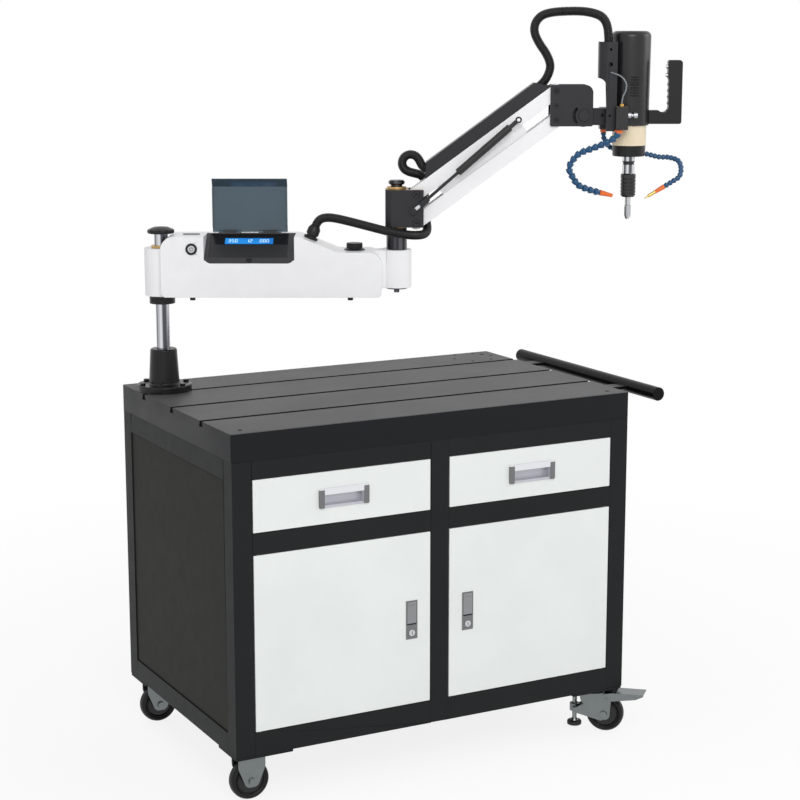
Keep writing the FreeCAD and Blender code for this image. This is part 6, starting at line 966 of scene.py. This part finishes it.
# Each hose: top of its nut, cup pitch, bell and waist radius, then (length, first and last
# radius) of each piece of its nozzle, and its route in millimetres from the head's pivot.
HOSES = {
    "near_hose": ((152.1, -67, -92.3), 0.0155, 0.0089, 0.0050, [(0.033, 0.0072, 0.0044)], [
        (152.1, -67, -101.3), (137.2, -66, -116), (113.6, -62, -128.5), (89, -57, -138.8),
        (56.6, -51, -152.4), (37.3, -48, -174.7), (33.2, -48, -191.2), (39.1, -47, -205.7),
        (56.5, -43, -230.3), (86.3, -37, -243.1), (112.6, -31, -250.3)]),
    "far_hose": ((123.7, 29, -95.3), 0.0110, 0.0069, 0.0040,
                 [(0.025, 0.0062, 0.0046), (0.020, 0.0042, 0.0040), (0.011, 0.0018, 0.0015)], [
        (123.7, 29, -104.3), (127.9, 33, -124.5), (145.2, 44, -143.1), (190.2, 60, -155.4),
        (234.2, 58, -159.7), (266.5, 44, -166.6), (289.7, 32, -166.9), (311, 14, -173.5),
        (316.9, -3, -191.3), (311.3, -15, -211.5), (292, -20, -224.5), (271.9, -22, -236.6)]),
}
for name, (nut_top, pitch, bell, waist, nozzle, route) in HOSES.items():
    line = on_head(through(route))
    chain = linked(name, skin(name, cups(line, pitch, bell, waist)), "head", blue_acetal)
    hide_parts("coolant_hoses")
    grid = turned(nut_profile(bell), on_head(nut_top), (0.0, 0.0, -1.0), ripple=six_sided)
    linked(name + "_nut", skin("nut", grid), "head", orange_acetal)
    ahead = line[-1] - line[-AIM_POINTS]
    ahead /= np.linalg.norm(ahead)
    foot = line[-1]
    for step, (length, first, last) in enumerate(nozzle):
        grid = turned(nozzle_profile(length, first, last), foot, ahead, NOZZLE_SIDES, NOZZLE_SOFT)
        jet = linked("%s_nozzle_%d" % (name, step + 1), skin("nozzle", grid), "head",
                     brass if step else orange_acetal)
        foot = foot + ahead * length

# ------------ cables
# Ribbed black conduit carries the cables from the control box over the elbow, along the links
# and over the head; a thin clear tube brings air to the front valve.
ROUTES = {  # points that pull the cable's line towards them
    "conduit_lower": on_arm([
        (390.8, 0, 419.9), (394.6, 0, 429.2), (405, -2, 439.5), (424, -8, 443),
        (450, -18, 440), (488.1, -30, 432), (533.1, -43, 421.5), (580.1, -51, 410),
        (625, -46, 402), (654, -22, 399), (668, 8, 400), (674, 39, 407),
        (671, 56, 430), (668, 61, 456), (667, 61, 480)]),
    "conduit_loop": on_arm([
        (667, 61, 480), (666, 61, 504), (669, 50, 532), (656, 34, 547),
        (641, 22, 551), (625.5, 11, 556), (613, 3, 564), (608, -4, 579),
        (613.5, -8, 594), (627.5, -9, 601.5), (643.5, -8, 598), (653.5, -5, 584.5),
        (659.5, -1, 569.5), (674, 0, 562.5)]),
    "conduit_upper": on_head([
        (-55.6, 0, 0.2), (-34.6, 0, 15.7), (-19.6, 0, 36.7), (-12.6, 0, 61.7),
        (-22.6, 0, 88.7), (-42.6, 0, 115.7), (-56.6, 0, 143.7), (-52.6, 0, 170.7),
        (-27.6, 0, 191.7), (12.4, 0, 193.7)]),
    "conduit_head": on_head([
        (12.4, 0, 193.7), (48.4, 0, 195.5), (85.4, -12, 191.7), (114.4, -28, 179.7),
        (125.4, -36.8, 147.7), (125.4, -36.8, 113.7)]),
    "air_tube": on_head([
        (130.4, -52, 46.7), (137.4, -60, 44.7), (154.4, -69, 38.7), (167.4, -73, 23.7),
        (168.4, -71, 4.7), (158.1, -67, -13.3), (158.1, -67, -29.3)]),
}
CURVE_STEPS, CURVE_ORDER = 32, 3


def cable_line(name):
    """Points along a route's line: the quadratic NURBS curve that has the route's points as its
    control points and starts and ends in its first and last."""
    route = ROUTES[name]
    curve = bpy.data.curves.new(name, "CURVE")
    curve.dimensions = "3D"
    curve.resolution_u = CURVE_STEPS
    spline = curve.splines.new("NURBS")
    spline.points.add(len(route) - 1)
    spline.points.foreach_set("co", np.hstack([route, np.ones((len(route), 1))]).ravel())
    spline.order_u = CURVE_ORDER
    spline.use_endpoint_u = True
    holder = bpy.data.objects.new(name, curve)
    read = bpy.data.meshes.new_from_object(holder)
    line = np.empty(len(read.vertices) * 3)
    read.vertices.foreach_get("co", line)
    bpy.data.objects.remove(holder)
    return line.reshape(-1, 3)


def conduit_shader(place):
    """Black nylon with a faint sheen, greyed with dust where the clouds are thick."""
    dust = place.grain(0.03, 4.0).rise(0.4, 0.8)
    return coat(place, dust.between(shade(15, 15, 17), shade(25, 25, 27)), dust * 0.15 + 0.28,
                shine=0.3, relief=(0.0006, 0.00001))


def tube_shader(place):
    """Clear polyurethane tube, a little milky."""
    milk = place.grain(0.01, 2.0).between(shade(150, 155, 160), shade(176, 181, 185))
    return coat(place, milk, 0.2, Alpha=0.5)


CONDUIT_RADIUS, RIB_PITCH, RIB_DEPTH = 0.0113, 0.0032, 0.0011
RIB_RINGS, RIB_POWER = 6, 1.5  # rings over a rib; the higher, the narrower its groove
CONDUIT_SIDES, TUBE_SIDES = 28, 16
CABLES = {  # the two bodies at a conduit's ends, and where a bend between them would start and end; nothing below uses these
    "conduit_lower": ("rear_arm", "elbow", on_arm((450, -20, 430)), on_arm((660, 20, 410))),
    "conduit_loop": ("elbow", "upper_arm", on_arm((650, 56, 560)), on_arm((650, 2, 560))),
    "conduit_upper": ("upper_arm", "head_clevis", on_head((0, 0, 15)), on_head((0, 0, 180))),
    "conduit_head": ("head_clevis", "head", on_head((20, 0, 190)), on_head((112, -20, 190))),
}
nylon = finish("black nylon conduit", conduit_shader)
for name, (near, far, start, end) in CABLES.items():
    line = cable_line(name)
    length = measured(line)
    stations = np.arange(round(length / RIB_PITCH) * RIB_RINGS + 1) / RIB_RINGS * RIB_PITCH
    wave = 0.5 - 0.5 * np.cos(2 * np.pi * stations / RIB_PITCH)
    radii = CONDUIT_RADIUS - RIB_DEPTH * (1 - wave) ** RIB_POWER
    mesh = skin(name, carried(line, stations, radii, CONDUIT_SIDES))
    mesh.materials.append(nylon)
    mesh.shade_smooth()
    conduit = placed(name + "_ribbed", mesh)
    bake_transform(conduit)
    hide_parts(name)
    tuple(line[0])

BUNDLE_RADIUS = 0.0098  # the cables that run on down the head's channel
bundle_line = through(on_head([
    (125.4, -36.8, 113.4), (125.4, -36.8, 78), (133, -37, 40), (133, -37, -58)]))
mesh = skin("channel cables", carried(bundle_line, [0, 1], [BUNDLE_RADIUS] * 2, CHAIN_SIDES))
linked("channel_cables", mesh, "head", nylon)

AIR_RADIUS, AIR_RINGS = 0.0018, 90
line = cable_line("air_tube")
air_length = measured(line)
rings = carried(line, np.linspace(0, air_length, AIR_RINGS), [AIR_RADIUS] * AIR_RINGS, TUBE_SIDES)
air_tube = linked("air_tube_clear", skin("air tube", rings), "head", finish("clear tube", tube_shader))
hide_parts("air_tube")
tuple(line[0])
